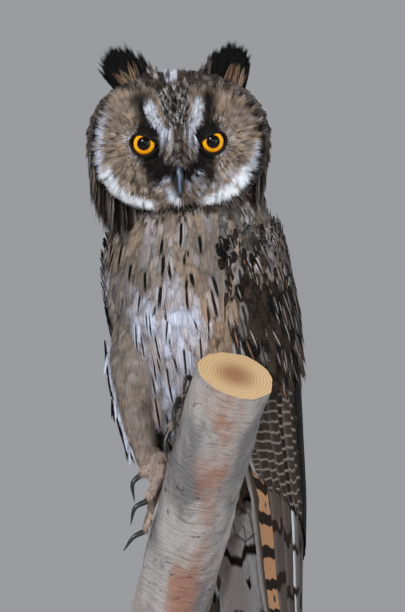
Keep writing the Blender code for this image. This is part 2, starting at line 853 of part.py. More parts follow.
def build():
    """Makes every node and seats each in what carries it."""
    clear_scene()
    finishes = make_finishes()
    trunk = make_trunk("torso", finishes["breast"], -108 * MM, NECK_CUT - GAP / 2)
    neck = make_trunk("neck", finishes["breast"], NECK_CUT + GAP / 2, 105 * MM, NECK_RINGS)
    head = make_head(finishes["face"])
    head_room = grown(head)
    trunk_room = make_trunk("room", None, -108.5 * MM, 105.5 * MM, TRUNK_RINGS * 2, GAP * 3)
    give_way(neck, head_room)

    for side in (1, -1):
        make_eye(side, finishes["eye"])
        make_lids(side, finishes["lid"])
        socket = eye_socket(side)
        carve(head, socket)
        bpy.data.objects.remove(socket)
    upper, lower = make_bill(finishes["horn"])
    make_room(head, upper, lower)

    for side in (1, -1):
        core, vanes = make_tuft(side, finishes["tuft"])
        join(core, vanes)
        give_way(core, head_room)

    right_line = [(-34, -10, 235), (-39, -17, 212), (-39.5, -21, 188), (-36, -21.5, 168), (-31.5, -20.5, 153)]
    right_leg = make_leg("leg_right", right_line, [18, 17, 13.5, 10.3, 7.5], finishes["leg"])
    left_line = [(4, -18, 210), (-1, -28, 194), (-5, -35, 184)]
    left_leg = make_leg("leg_left", left_line, [15, 13, 9], finishes["leg"])

    leg_room = grown(right_leg)
    for side in (1, -1):
        core, vanes = make_wing(side, finishes["flight"])
        join(core, vanes)
        give_way(core, trunk_room, head_room, leg_room)
    tail, tail_vanes = make_tail(finishes["flight"])
    join(tail, tail_vanes)
    give_way(tail, trunk_room)

    perch = make_perch(finishes["bark"])
    perch_room = grown(perch)
    base, rod = make_stand(finishes)
    make_room(perch, rod)

    right_foot, right_claws = make_foot(
        "right",
        (-31, -20.5, 151),
        tuple(perch_place(142, 32, 5) / MM),
        (
            (((-32, -26, 149), (-36, -29, 146)), ((-40.5, -31, 142), (-40, -31, 131))),
            (((-30, -31, 136), (-33, -33, 131)), ((-39, -35, 128), (-42, -36, 118))),
            (((-31, -27, 122), (-34, -29, 114)), ((-40, -31, 111), (-46, -32, 103))),
            (
                (tuple(perch_place(138, 66, 3.6) / MM), tuple(perch_place(134, 100, 3.8) / MM)),
                (tuple(perch_place(130, 118, 5) / MM), tuple(perch_place(124, 136, 3) / MM)),
            ),
        ),
        finishes,
    )
    left_foot, left_claws = make_foot(
        "left",
        tuple(perch_place(172, 62, 13) / MM),
        tuple(perch_place(168, 60, 5) / MM),
        (
            (
                (tuple(perch_place(170, 25, 3.6) / MM), tuple(perch_place(164, 2, 3.8) / MM)),
                (tuple(perch_place(160, -14, 5) / MM), tuple(perch_place(154, -30, 3) / MM)),
            ),
            (
                (tuple(perch_place(178, 32, 3.6) / MM), tuple(perch_place(180, 6, 3.8) / MM)),
                (tuple(perch_place(177, -12, 5) / MM), tuple(perch_place(171, -28, 3) / MM)),
            ),
            (
                (tuple(perch_place(179, 44, 3.4) / MM), tuple(perch_place(187, 28, 3.4) / MM)),
                (tuple(perch_place(190, 14, 4.2) / MM), tuple(perch_place(186, -2, 2.4) / MM)),
            ),
            (
                (tuple(perch_place(161, 84, 3.4) / MM), tuple(perch_place(156, 104, 3.4) / MM)),
                (tuple(perch_place(152, 118, 4.5) / MM), tuple(perch_place(147, 134, 2.8) / MM)),
            ),
        ),
        finishes,
    )
    for leg, foot, claws in ((right_leg, right_foot, right_claws), (left_leg, left_foot, left_claws)):
        make_room(trunk, leg)
        make_room(foot, leg)
        give_way(foot, perch_room, trunk_room)
        make_room(foot, *claws)
        for claw in claws:
            give_way(claw, perch_room)
        give_way(leg, perch_room)
    for room in (head_room, trunk_room, perch_room, leg_room):
        bpy.data.objects.remove(room)


build()
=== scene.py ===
"""Looks of a life-size long-eared owl gripping a cut branch on a plain display stand.

Everything is in metres in the frame of the solids: +Z up, the owl's face looks along -Y, and the
origin is the middle of the stand's underside. Named sizes are in millimetres.
"""

from __future__ import annotations

import logging
import math
import sys
from collections.abc import Iterable, Sequence
from dataclasses import dataclass, field
from enum import Enum, IntEnum
from typing import Protocol

import bmesh
import bpy
import numpy as np
from mathutils import Matrix, Vector, bvhtree, kdtree, noise

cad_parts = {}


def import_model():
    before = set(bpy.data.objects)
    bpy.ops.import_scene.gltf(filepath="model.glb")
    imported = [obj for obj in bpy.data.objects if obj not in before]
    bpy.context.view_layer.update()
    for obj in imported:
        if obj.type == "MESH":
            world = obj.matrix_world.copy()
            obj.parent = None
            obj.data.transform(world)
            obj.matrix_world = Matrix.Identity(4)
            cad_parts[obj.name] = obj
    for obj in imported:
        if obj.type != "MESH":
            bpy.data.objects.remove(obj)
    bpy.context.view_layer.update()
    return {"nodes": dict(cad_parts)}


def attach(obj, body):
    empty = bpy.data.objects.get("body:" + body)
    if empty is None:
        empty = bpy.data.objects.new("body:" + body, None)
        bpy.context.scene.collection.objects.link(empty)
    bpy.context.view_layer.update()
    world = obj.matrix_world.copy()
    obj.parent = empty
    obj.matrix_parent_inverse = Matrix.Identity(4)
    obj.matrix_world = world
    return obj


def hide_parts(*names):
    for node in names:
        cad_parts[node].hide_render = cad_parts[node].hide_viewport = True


LOG = logging.getLogger("owl")
MM = 0.001
ROOT_BODY = "root"
SEED = 41

# Maps, and the side of a feather's patch on the bake map
BAKE_MAP = "OFBake"
VANE_MAP = "Vane"
GAZE_MAP = "Gaze"
PATCH_SIZE = 0.003

# Flocks of feathers: triangles in a piece, variants, and the spread of size, direction and lift
PIECE_TRIANGLES = 185_000
FORM_COUNT = 4
SIZE_SPREAD = 0.14
AIM_SPREAD = 0.10
LIFT_SPREAD = 0.035

# Scattering: tries a place, and the least distance between roots as a share of the spacing
SCATTER_TRIES = 3.0
SCATTER_REACH = 0.86


class Side(IntEnum):
    """A side of the owl, whose value is the sign of x there."""

    LEFT = 1
    RIGHT = -1

    @property
    def word(self) -> str:
        """The side as the nodes' names give it."""
        return self.name.lower()


# Stance, as in the solids
BODY_CENTRE = (0.0, 0.0, 233.4)
BODY_TURN = math.radians(-34.0)
BODY_LEAN = math.radians(16.4)
HEAD_CENTRE = (-14.9, -35.0, 332.9)
HEAD_ROLL = math.radians(-1.7)

# The surface that a folded wing lies on: height, half-width, depth to the breast and to the back
WING_BED = (
    (-225, 22, 15, 18),
    (-180, 28, 20, 23),
    (-145, 34, 26, 28),
    (-110, 40, 31, 33),
    (-80, 43, 36, 37),
    (-50, 46, 44, 41),
    (-20, 49.5, 51, 44.5),
    (10, 51, 54, 46.5),
    (45, 50, 52, 46),
    (70, 47, 45, 43),
)

# The core of a folded wing: middle and reach in degrees and millimetres, and how square it is
WING_MIDDLE = (98, 4)
WING_REACH = (54, 60)
WING_POWER = 2.4
WING_TOP_THICKNESS = 9.0
WING_FOOT_THICKNESS = 3.0

# Eyes and bill, in the head's frame
EYE_RADIUS = 8.5
EYE_SPACING = 37.7
EYE_DEPTH = 17.8
EYE_SPLAY = math.radians(4)
CORNEA_BULGE = 0.9
IRIS_RADIUS = 6.1
PUPIL_RADIUS = 3.75
LID_THICKNESS = 1.1
LID_EDGE = math.radians(72)
LID_OPENING = (
    (-32, 6.2),
    (11, 6.8),
    (37, 6.4),
    (58, 5.3),
    (90, 3.6),
    (125, 3.2),
    (152, 3.8),
    (180, 6.0),
    (191, 7.2),
    (205, 6.6),
    (227, 6.0),
    (275, 6.2),
    (328, 6.2),
    (371, 6.8),
)
BILL_LINE = (
    (0, -17, -8),
    (0, -25.5, -10),
    (0, -31.5, -14),
    (0, -34.6, -19.5),
    (0, -34.2, -26),
    (0, -31.6, -31),
)
BILL_WIDTHS = (4.2, 4.3, 4.2, 3.7, 2.4, 0.5)
LOWER_BILL_LINE = ((0, -17, -15), (0, -23, -17.5), (0, -27, -21), (0, -29.6, -25.5))
LOWER_BILL_WIDTHS = (4.4, 4.0, 3.0, 0.9)

# Ear tufts from the front: roots from the outer edge in, and tips after a place along the roots
TUFT_ROOTS = {
    Side.LEFT: ((37.7, 34.0), (13.0, 37.0)),
    Side.RIGHT: ((-32.7, 33.0), (-9.5, 36.0)),
}
TUFT_TIPS = {
    Side.LEFT: (
        (0.0, 39.5, 44.0),
        (0.3, 38.0, 51.0),
        (0.6, 30.5, 53.5),
        (0.8, 22.5, 50.0),
        (1.0, 14.0, 41.5),
    ),
    Side.RIGHT: (
        (0.0, -41.0, 43.0),
        (0.3, -38.5, 50.5),
        (0.6, -30.5, 52.5),
        (0.8, -21.5, 48.5),
        (1.0, -11.5, 41.0),
    ),
}

# Edge of the right wing beside the flank, from the top
WING_EDGE = (
    (-56.0, 0, 222),
    (-55.2, 0, 210),
    (-52.4, 0, 192),
    (-48.6, 0, 176),
    (-43.8, 0, 164),
)

# Outline of the facial disc in the head's frame: direction in degrees and radius in millimetres
DISC_OUTLINE = (
    (0, 47.5),
    (38, 44.5),
    (52, 39.5),
    (90, 31.0),
    (122, 38.0),
    (136, 44.5),
    (180, 48.0),
    (213, 50.0),
    (240, 44.5),
    (270, 36.0),
    (300, 41.5),
    (331, 46.5),
    (360, 47.5),
)

# Perch centre line, bottom to top, and its radius
PERCH_LINE = (
    (-25.7, 2, 42),
    (-18.3, -6, 73.4),
    (-12.6, -14, 96.3),
    (-4.6, -30, 130.6),
    (3.4, -48, 159.1),
    (12.0, -66, 187.7),
    (17.0, -76, 203),
)
PERCH_RADIUS = 22.0

# The photo's size and scale, its column over the origin, and a row below its lower edge with the
# height there in metres
PHOTO_SIZE = (405, 612)
PHOTO_MIDDLE = 205
PHOTO_LOW_ROW = 697
PHOTO_LOW_HEIGHT = 0.018
PIXELS_A_METRE = 1750.0
PHOTO_BOTTOM = PHOTO_LOW_HEIGHT + (PHOTO_LOW_ROW - PHOTO_SIZE[1]) / PIXELS_A_METRE

# Camera and floor, in metres but for the sensor
CAMERA_DISTANCE = 3.0
SENSOR = 36.0
FLOOR_RADIUS = 1.1
FLOOR_SIDES = 96


def tint(red: float, green: float, blue: float) -> np.ndarray:
    """A display colour as linear light."""
    shown = np.array([red, green, blue])
    return np.where(shown <= 0.04045, shown / 12.92, ((shown + 0.055) / 1.055) ** 2.4)


BUFF = tint(0.65, 0.56, 0.48)
FAWN = tint(0.57, 0.50, 0.44)
WARM = tint(0.58, 0.44, 0.33)
LAVENDER = tint(0.78, 0.80, 0.87)
ORANGE = tint(0.76, 0.54, 0.33)
WHITE = tint(0.93, 0.955, 1.0)
PALE = tint(0.80, 0.79, 0.79)
ASH = tint(0.60, 0.58, 0.57)
GREY = tint(0.42, 0.40, 0.39)
BROWN = tint(0.28, 0.235, 0.205)
UMBER = tint(0.17, 0.14, 0.125)
BLACK = tint(0.05, 0.045, 0.05)
NO_INK = (0.0, 0.0, 0.0)


def smooth(value: np.ndarray, low: float, high: float) -> np.ndarray:
    """A smooth step from 0 at low to 1 at high."""
    share = np.clip((value - low) / (high - low), 0, 1)
    return share * share * (3 - 2 * share)


def blended(first: np.ndarray, second: np.ndarray, share: np.ndarray) -> np.ndarray:
    """Rows of colours or vectors mixed by a share each."""
    part = np.clip(share, 0, 1)[:, None]
    return first * (1 - part) + second * part


def between(first: np.ndarray, second: np.ndarray, share: float) -> np.ndarray:
    """One colour mixed from two."""
    return first * (1 - share) + second * share


def unit(vectors: np.ndarray) -> np.ndarray:
    """Rows scaled to length 1."""
    return vectors / np.maximum(np.linalg.norm(vectors, axis=-1, keepdims=True), 1e-12)


def read_rows(items: object, key: str, width: int, kind: type = float) -> np.ndarray:
    """One property of all items of a mesh's collection.

    Args:
        items: The collection.
        key: The property.
        width: Numbers in a row.
        kind: Their type.

    Returns:
        One row an item.
    """
    flat = np.zeros(len(items) * width, kind)
    items.foreach_get(key, flat)
    return flat.reshape(-1, width)


def write_vectors(mesh: bpy.types.Mesh, name: str, rows: np.ndarray) -> None:
    """Adds a vector attribute, one row a point."""
    layer = mesh.attributes.new(name, "FLOAT_VECTOR", "POINT")
    layer.data.foreach_set("vector", np.asarray(rows, np.float32).ravel())


def smooth_rows(keys: Sequence[Sequence[float]], at: np.ndarray) -> np.ndarray:
    """Rows of values at places, on a smooth curve through keys whose first column is the place.

    Args:
        keys: Rows of a place and its values.
        at: Places to read.

    Returns:
        One row of values a place.
    """
    rows = np.array(keys, float)
    places, values = rows[:, 0], rows[:, 1:]
    slopes = np.gradient(values, places, axis=0)
    at = np.clip(np.asarray(at, float), places[0], places[-1])
    i = np.clip(np.searchsorted(places, at) - 1, 0, len(places) - 2)
    step = places[i + 1] - places[i]
    t = ((at - places[i]) / step)[:, None]
    step = step[:, None]
    rise = t * t * (3 - 2 * t)
    lead = t * (1 - t) ** 2 * step
    trail = t * t * (t - 1) * step
    return values[i] * (1 - rise) + values[i + 1] * rise + slopes[i] * lead + slopes[i + 1] * trail


def curve_points(line: Sequence[Sequence[float]], count: int) -> np.ndarray:
    """Points spread evenly along a smooth curve through a few.

    Args:
        line: Points of the curve.
        count: How many points to return.

    Returns:
        The points, one a row.
    """
    knots = np.array(line, float)
    spans = np.r_[0, np.cumsum(np.linalg.norm(np.diff(knots, axis=0), axis=1))]
    return smooth_rows(np.column_stack([spans, knots]), np.linspace(0, spans[-1], count))


@dataclass(frozen=True)
class Pose:
    """A frame of its own in the world.

    Attributes:
        matrix: From the frame, in millimetres, to the world, in metres.
    """

    matrix: np.ndarray

    @classmethod
    def of(cls, *steps: Matrix) -> "Pose":
        """A frame from steps that follow one another, with translations in millimetres.

        Args:
            *steps: Matrices, the outermost first.

        Returns:
            The frame.
        """
        made = Matrix.Identity(4)
        for step in steps:
            made = made @ step
        return cls(np.array(Matrix.Scale(MM, 4) @ made))

    def out(self, points: np.ndarray) -> np.ndarray:
        """Points of the frame, in the world."""
        return points @ self.matrix[:3, :3].T + self.matrix[:3, 3]

    def into(self, points: np.ndarray) -> np.ndarray:
        """World points, in the frame."""
        return (points - self.matrix[:3, 3]) @ np.linalg.inv(self.matrix[:3, :3]).T

    def turned(self, vectors: np.ndarray) -> np.ndarray:
        """Directions of the frame, in the world."""
        return unit(vectors @ self.matrix[:3, :3].T)


BODY = Pose.of(
    Matrix.Translation(BODY_CENTRE),
    Matrix.Rotation(BODY_TURN, 4, "Z"),
    Matrix.Rotation(BODY_LEAN, 4, "X"),
)
HEAD = Pose.of(Matrix.Translation(HEAD_CENTRE), Matrix.Rotation(HEAD_ROLL, 4, "Y"))


def shell_points(angle: np.ndarray, height: np.ndarray, lift: np.ndarray, side: Side) -> np.ndarray:
    """Points on a wing's bed, in the body's frame.

    Args:
        angle: Radians from the breast, towards the wing's side and on to the back.
        height: Millimetres along the body.
        lift: Millimetres out from the bed.
        side: The wing's side.

    Returns:
        Rows in millimetres.
    """
    half, front, back = smooth_rows(WING_BED, height).T
    depth = np.where(np.cos(angle) > 0, front, back)
    across = half * np.sin(angle)
    along = -depth * np.cos(angle)
    out = unit(np.column_stack([across / half**2, along / depth**2]))
    return np.column_stack([(across + out[:, 0] * lift) * side, along + out[:, 1] * lift, height])


def core_height(angle: np.ndarray, height: np.ndarray) -> np.ndarray:
    """Thickness of a wing's core, as in the solids.

    Args:
        angle: Degrees round the body.
        height: Millimetres along the body.

    Returns:
        Millimetres.
    """
    across = (angle - WING_MIDDLE[0]) / WING_REACH[0]
    along = (height - WING_MIDDLE[1]) / WING_REACH[1]
    reach = (np.abs(across) ** WING_POWER + np.abs(along) ** WING_POWER) ** (1 / WING_POWER)
    rise = WING_TOP_THICKNESS - WING_FOOT_THICKNESS
    tall = WING_FOOT_THICKNESS + rise * np.clip(0.5 + along / 2, 0, 1)
    return tall * np.sqrt(np.maximum(0, 1 - reach**3))


def mesh_object(
    name: str,
    points: np.ndarray,
    faces: Iterable[Sequence[int]],
    uv: dict[str, np.ndarray] | None = None,
    fields: dict[str, np.ndarray] | None = None,
    shaded: bool = True,
) -> bpy.types.Object:
    """An object from points and faces.

    Args:
        name: Its name.
        points: Rows in metres.
        faces: Point numbers of each face.
        uv: Maps by name, with one row a point.
        fields: Point attributes by name, with one row of three values a point.
        shaded: Whether it is shaded smooth.

    Returns:
        The object, linked to the scene.
    """
    mesh = bpy.data.meshes.new(name)
    mesh.from_pydata(np.asarray(points, float).tolist(), [], [list(map(int, f)) for f in faces])
    corners = read_rows(mesh.loops, "vertex_index", 1, np.int32).ravel()
    for key, rows in (uv or {}).items():
        layer = mesh.uv_layers.new(name=key)
        layer.data.foreach_set("uv", np.asarray(rows, np.float32)[corners].ravel())
    for key, rows in (fields or {}).items():
        write_vectors(mesh, key, rows)
    if shaded and len(mesh.polygons):
        mesh.polygons.foreach_set("use_smooth", np.ones(len(mesh.polygons), bool))
    made = bpy.data.objects.new(name, mesh)
    bpy.context.scene.collection.objects.link(made)
    return made


def faces_outward(thing: bpy.types.Object) -> None:
    """Turns a closed object's faces outwards.

    Args:
        thing: The object.
    """
    form = bmesh.new()
    form.from_mesh(thing.data)
    bmesh.ops.recalc_face_normals(form, faces=form.faces)
    form.to_mesh(thing.data)
    form.free()


def apply_modifiers(thing: bpy.types.Object) -> None:
    """Makes an object's evaluated shape its own.

    Args:
        thing: The object.
    """
    bpy.context.view_layer.update()
    seen = thing.evaluated_get(bpy.context.evaluated_depsgraph_get())
    made = bpy.data.meshes.new_from_object(seen)
    thing.modifiers.clear()
    thing.data = made


def grid_faces(rows: int, columns: int, closed: bool = False) -> list[tuple[int, int, int, int]]:
    """Quads between rows of points.

    Args:
        rows: Number of rows.
        columns: Points in a row.
        closed: Whether each row closes on itself.

    Returns:
        The faces.
    """
    last = columns if closed else columns - 1
    return [
        (
            r * columns + c,
            r * columns + (c + 1) % columns,
            (r + 1) * columns + (c + 1) % columns,
            (r + 1) * columns + c,
        )
        for r in range(rows - 1)
        for c in range(last)
    ]


def capped_faces(rows: int, sides: int) -> list[Sequence[int]]:
    """Faces of closed rows of points that are followed by a pole before and one after them.

    Args:
        rows: Number of rows.
        sides: Points in a row.

    Returns:
        The faces.
    """
    near_pole, far_pole, last = rows * sides, rows * sides + 1, (rows - 1) * sides
    faces: list[Sequence[int]] = list(grid_faces(rows, sides, True))
    faces += [(near_pole, (s + 1) % sides, s) for s in range(sides)]
    faces += [(far_pole, last + s, last + (s + 1) % sides) for s in range(sides)]
    return faces


def ring_angles(sides: int) -> np.ndarray:
    """Even directions round a ring."""
    return np.linspace(0, math.tau, sides, endpoint=False)


def off_axis(off: np.ndarray, turn: np.ndarray) -> np.ndarray:
    """Directions at an angle off the -Y axis and at a turn round it."""
    return np.column_stack([np.sin(off) * np.cos(turn), -np.cos(off), np.sin(off) * np.sin(turn)])


def dressed(
    piece: bpy.types.Object, material: bpy.types.Material, slot: str, *replaced: str
) -> bpy.types.Object:
    """A finished piece with its material, and the solids that it stands for hidden.

    Args:
        piece: The piece.
        material: Its material.
        slot: Not used.
        *replaced: Names of the solids.

    Returns:
        The piece.
    """
    piece.data.materials.append(material)
    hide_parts(*replaced)
    return piece


def tube(
    name: str,
    line: Sequence[Sequence[float]],
    radii: Sequence[float],
    rings: int = 24,
    sides: int = 20,
    flat: float = 1.0,
    pose: Pose | None = None,
) -> bpy.types.Object:
    """A closed tube along a curve, with rounded ends.

    Args:
        name: Its name.
        line: Points of its centre line in millimetres.
        radii: Radii spread evenly along it, in millimetres.
        rings: Rings along it.
        sides: Points round it.
        flat: How much of its depth is kept.
        pose: The frame that the line is in.

    Returns:
        The object.
    """
    spots = curve_points(line, rings)
    sizes = np.interp(np.linspace(0, 1, rings), np.linspace(0, 1, len(radii)), radii)
    ahead = unit(np.gradient(spots, axis=0))
    lead = np.where(np.abs(ahead[:, 2:]) > 0.97, [[0.0, 1.0, 0.2]], [[0.0, 0.0, 1.0]])
    across = unit(np.cross(ahead, lead))
    turned = np.sum(across[1:] * across[:-1], axis=1) < 0
    across[1:] *= np.cumprod(np.where(turned, -1, 1))[:, None]
    over = np.cross(across, ahead)
    turn = ring_angles(sides)[None, :, None]
    ring = np.cos(turn) * across[:, None] + np.sin(turn) * over[:, None] * flat
    body = spots[:, None] + ring * sizes[:, None, None]
    caps = [spots[0] - ahead[0] * sizes[0] * 0.6, spots[-1] + ahead[-1] * sizes[-1] * 0.6]
    points = np.vstack([body.reshape(-1, 3), caps])
    made = mesh_object(name, pose.out(points) if pose else points * MM, capped_faces(rings, sides))
    faces_outward(made)
    return made


class Value:
    """A shader socket that takes part in sums."""

    def __init__(self, graph: "Graph", socket: bpy.types.NodeSocket) -> None:
        """Wraps a socket."""
        self.graph = graph
        self.socket = socket

    def math(self, operation: str, *others: "Value | float", first: "float | None" = None) -> "Value":
        """One Math node on this socket."""
        operands = [self, *others] if first is None else [first, self, *others]
        return self.graph.node("ShaderNodeMath", {"operation": operation}, dict(enumerate(operands)))

    def __add__(self, other: "Value | float") -> "Value":
        """Sum."""
        return self.math("ADD", other)

    __radd__ = __add__

    def __mul__(self, other: "Value | float") -> "Value":
        """Product."""
        return self.math("MULTIPLY", other)

    __rmul__ = __mul__

    def __sub__(self, other: "Value | float") -> "Value":
        """Difference."""
        return self.math("SUBTRACT", other)

    def __rsub__(self, other: float) -> "Value":
        """Difference from a number."""
        return self.math("SUBTRACT", first=other)

    def __truediv__(self, other: "Value | float") -> "Value":
        """Quotient."""
        return self.math("DIVIDE", other)

    def sine(self) -> "Value":
        """Sine of the value."""
        return self.math("SINE")

    def size(self) -> "Value":
        """Absolute value."""
        return self.math("ABSOLUTE")

    def power(self, exponent: float) -> "Value":
        """The value to a power."""
        return self.math("POWER", exponent)

    def most(self, other: "Value | float") -> "Value":
        """The larger of two values."""
        return self.math("MAXIMUM", other)

    def step(self, low: "Value | float", high: "Value | float") -> "Value":
        """A smooth step from 0 at low to 1 at high."""
        values = {"Value": self, "From Min": low, "From Max": high}
        return self.graph.node("ShaderNodeMapRange", {"interpolation_type": "SMOOTHSTEP"}, values)


def plug(tree: bpy.types.NodeTree, socket: bpy.types.NodeSocket, value: object) -> None:
    """Links or sets one input.

    Args:
        tree: The input's tree.
        socket: The input.
        value: A Value, an output, a row or any single setting.
    """
    if isinstance(value, Value):
        value = value.socket
    if isinstance(value, bpy.types.NodeSocket):
        tree.links.new(value, socket)
    elif isinstance(value, (tuple, list, np.ndarray)):
        row = [float(x) for x in value]
        socket.default_value = row + [1.0] if socket.type == "RGBA" and len(row) == 3 else row
    else:
        socket.default_value = value


def add_node(
    tree: bpy.types.NodeTree,
    kind: str,
    settings: dict[str, object] | None = None,
    values: dict[str | int, object] | None = None,
) -> bpy.types.Node:
    """Any node, with its settings and then its socket values.

    Args:
        tree: The tree that it joins.
        kind: The node's type.
        settings: Its properties.
        values: Values or links for its inputs.

    Returns:
        The node.
    """
    made = tree.nodes.new(kind)
    for key, setting in (settings or {}).items():
        setattr(made, key, setting)
    for key, value in (values or {}).items():
        plug(tree, made.inputs[key], value)
    return made


class Graph:
    """The nodes of one material."""

    def __init__(self, name: str) -> None:
        """Starts a material with one Principled node.

        Args:
            name: Its name.
        """
        self.material = bpy.data.materials.new(name)
        self.material.use_nodes = True
        self.tree = self.material.node_tree
        self.shader = self.tree.nodes["Principled BSDF"]

    def node(
        self,
        kind: str,
        settings: dict[str, object] | None = None,
        values: dict[str | int, object] | None = None,
        output: str | int = 0,
    ) -> Value:
        """One output of any node, with its settings and socket values."""
        return Value(self, add_node(self.tree, kind, settings, values).outputs[output])

    def vector_math(self, operation: str, values: dict[str | int, object], output: str | int = 0) -> Value:
        """One Vector Math node."""
        return self.node("ShaderNodeVectorMath", {"operation": operation}, values, output)

    def attribute(self, name: str) -> Value:
        """A point attribute of the piece, as a vector."""
        return self.node("ShaderNodeAttribute", {"attribute_name": name}, output="Vector")

    def parts(self, vector: Value) -> tuple[Value, Value, Value]:
        """The three numbers of a vector."""
        made = self.node("ShaderNodeSeparateXYZ", None, {0: vector}).socket.node
        return tuple(Value(self, out) for out in made.outputs)

    def vector(self, *parts: "Value | float") -> Value:
        """A vector from three numbers."""
        return self.node("ShaderNodeCombineXYZ", None, dict(enumerate(parts)))

    def place(self) -> Value:
        """Object coordinates."""
        return self.node("ShaderNodeTexCoord", output="Object")

    def noise(
        self, at: Value, scale: "Value | float", detail: float = 2.0, roughness: float = 0.5
    ) -> Value:
        """Cloudy values about 0.5."""
        values = {"Vector": at, "Scale": scale, "Detail": detail, "Roughness": roughness}
        return self.node("ShaderNodeTexNoise", None, values, "Fac")

    def mix(self, first: object, second: object, share: "Value | float", mode: str = "MIX") -> Value:
        """Two colours mixed."""
        settings = {"data_type": "RGBA", "blend_type": mode}
        return self.node("ShaderNodeMix", settings, {0: share, 6: first, 7: second}, 2)

    def stretched(self, vector: Value, by: Sequence[float]) -> Value:
        """A vector scaled along each axis."""
        return self.vector_math("MULTIPLY", {0: vector, 1: by})

    def bump(self, height: Value, strength: float, distance: float) -> Value:
        """A normal from a height."""
        values = {"Height": height, "Strength": strength, "Distance": distance}
        return self.node("ShaderNodeBump", None, values)

    def finish(self, **values: object) -> bpy.types.Material:
        """Sets the Principled node and returns the material."""
        for key, value in values.items():
            plug(self.tree, self.shader.inputs[key.replace("_", " ")], value)
        return self.material


@dataclass(frozen=True)
class PlumageFinish:
    """How feathers look beyond their own colours.

    Attributes:
        name: The material's name.
        roughness: Its roughness.
        barbs: Barbs along a vane.
        fibres: How much the hairs along a feather differ in lightness.
        relief: Strength of the barbs' bump.
    """

    name: str
    roughness: float = 0.75
    barbs: float = 34.0
    fibres: float = 0.95
    relief: float = 0.25

    def material(self) -> bpy.types.Material:
        """The material: shaft streak, bars and mottling over each feather's own ground colour, darkened
        towards each feather's root as painted shade.

        Returns:
            The material.
        """
        graph = Graph(self.name)
        ground = graph.attribute("ground")
        mark = graph.attribute("mark")
        streak, bars, mottle = graph.parts(graph.attribute("ink"))
        count, width, seed = graph.parts(graph.attribute("band"))
        map_node = graph.node("ShaderNodeUVMap", {"uv_map": VANE_MAP})
        across, along, _ = graph.parts(map_node)
        off = (across - 0.5).size() * 2.0
        own = graph.vector(across, along, seed * 13.0)
        wobble = graph.noise(own, 3.5, 2.0) - 0.5
        drop = ((along - 0.1) * 3.3).sine().most(0.0).power(0.4)
        half = width * (drop + wobble * 0.9)
        streaked = streak * (1.0 - off.step(half * 0.75, half * 1.15 + 0.02)) * along.step(0.08, 0.2)
        wave = ((along * count + seed + wobble * 0.55) * math.tau).sine()
        barred = (bars * 6.0).math("MINIMUM", 1.0) * wave.step(bars * -1.2 + 0.95, bars * -1.2 + 1.2)
        speck = graph.noise(graph.place(), 950.0, 3.0, 0.7)
        fleck = graph.noise(own, 11.0, 3.0, 0.75)
        mottling = (speck * 0.5 + fleck * 0.5).step(mottle * -0.2 + 0.66, mottle * -0.2 + 0.73)
        mottled = (mottle * 4.0).math("MINIMUM", 1.0) * mottling
        inked = streaked.most(barred).most(mottled)
        swept = (along - off * 0.12) * self.barbs
        barb = graph.noise(graph.vector(across * 2.0, swept, seed * 7.0), 1.6, 2.0)
        colour = graph.mix(ground, mark, inked)
        # Painted shade: each feather darker towards its root, where the feathers above overlap it.
        depth = along.step(0.0, 0.4) * 0.35 + 0.65
        fibre = graph.noise(graph.vector(across * 17.0, along * 1.2, seed * 31.0), 1.0, 2.0) - 0.5
        # The barbs' and hairs' own lightness, times the painted root shade.
        shade = (barb * 0.5 + 0.75) * depth * (fibre * (self.fibres * 2.0) + 1.0)
        shaded = graph.vector_math("SCALE", {0: colour, "Scale": shade})
        ridge = barb * 0.7 + (1.0 - off.step(0.0, 0.09)) * 0.6
        normal = graph.bump(ridge, self.relief, 0.0004)
        rough = barb * 0.16 + (self.roughness - 0.08)
        return graph.finish(Base_Color=shaded, Roughness=rough, Normal=normal, Specular_IOR_Level=0.1)


@dataclass(frozen=True)
class HornFinish:
    """Bill or claw.

    Attributes:
        name: The material's name.
        dark: Colour of most of it.
        light: Colour of its paler patches and of the painted highlight along its ridge.
        roughness: Its roughness.
    """

    name: str
    dark: np.ndarray
    light: np.ndarray
    roughness: float = 0.3

    def material(self) -> bpy.types.Material:
        """The material, with growth lines, paler patches and a painted highlight along the ridge.

        Returns:
            The material.
        """
        graph = Graph(self.name)
        place = graph.place()
        grain = graph.noise(graph.stretched(place, (900, 900, 260)), 1.0, 3.0, 0.6)
        cloud = graph.noise(place, 240.0, 2.0)
        # The ridge attribute is a painted highlight along the top of the bill.
        ridge, _, _ = graph.parts(graph.attribute("ridge"))
        share = (grain * 0.6 + cloud * 0.6).step(0.6, 0.9) * 0.5 + ridge * (grain * 0.8 + 0.4)
        colour = graph.mix(self.dark, self.light, share)
        rough = grain * 0.3 + (self.roughness - 0.1)
        normal = graph.bump(grain, 0.25, 0.0003)
        return graph.finish(Base_Color=colour, Roughness=rough, Normal=normal, Coat_Weight=0.2)


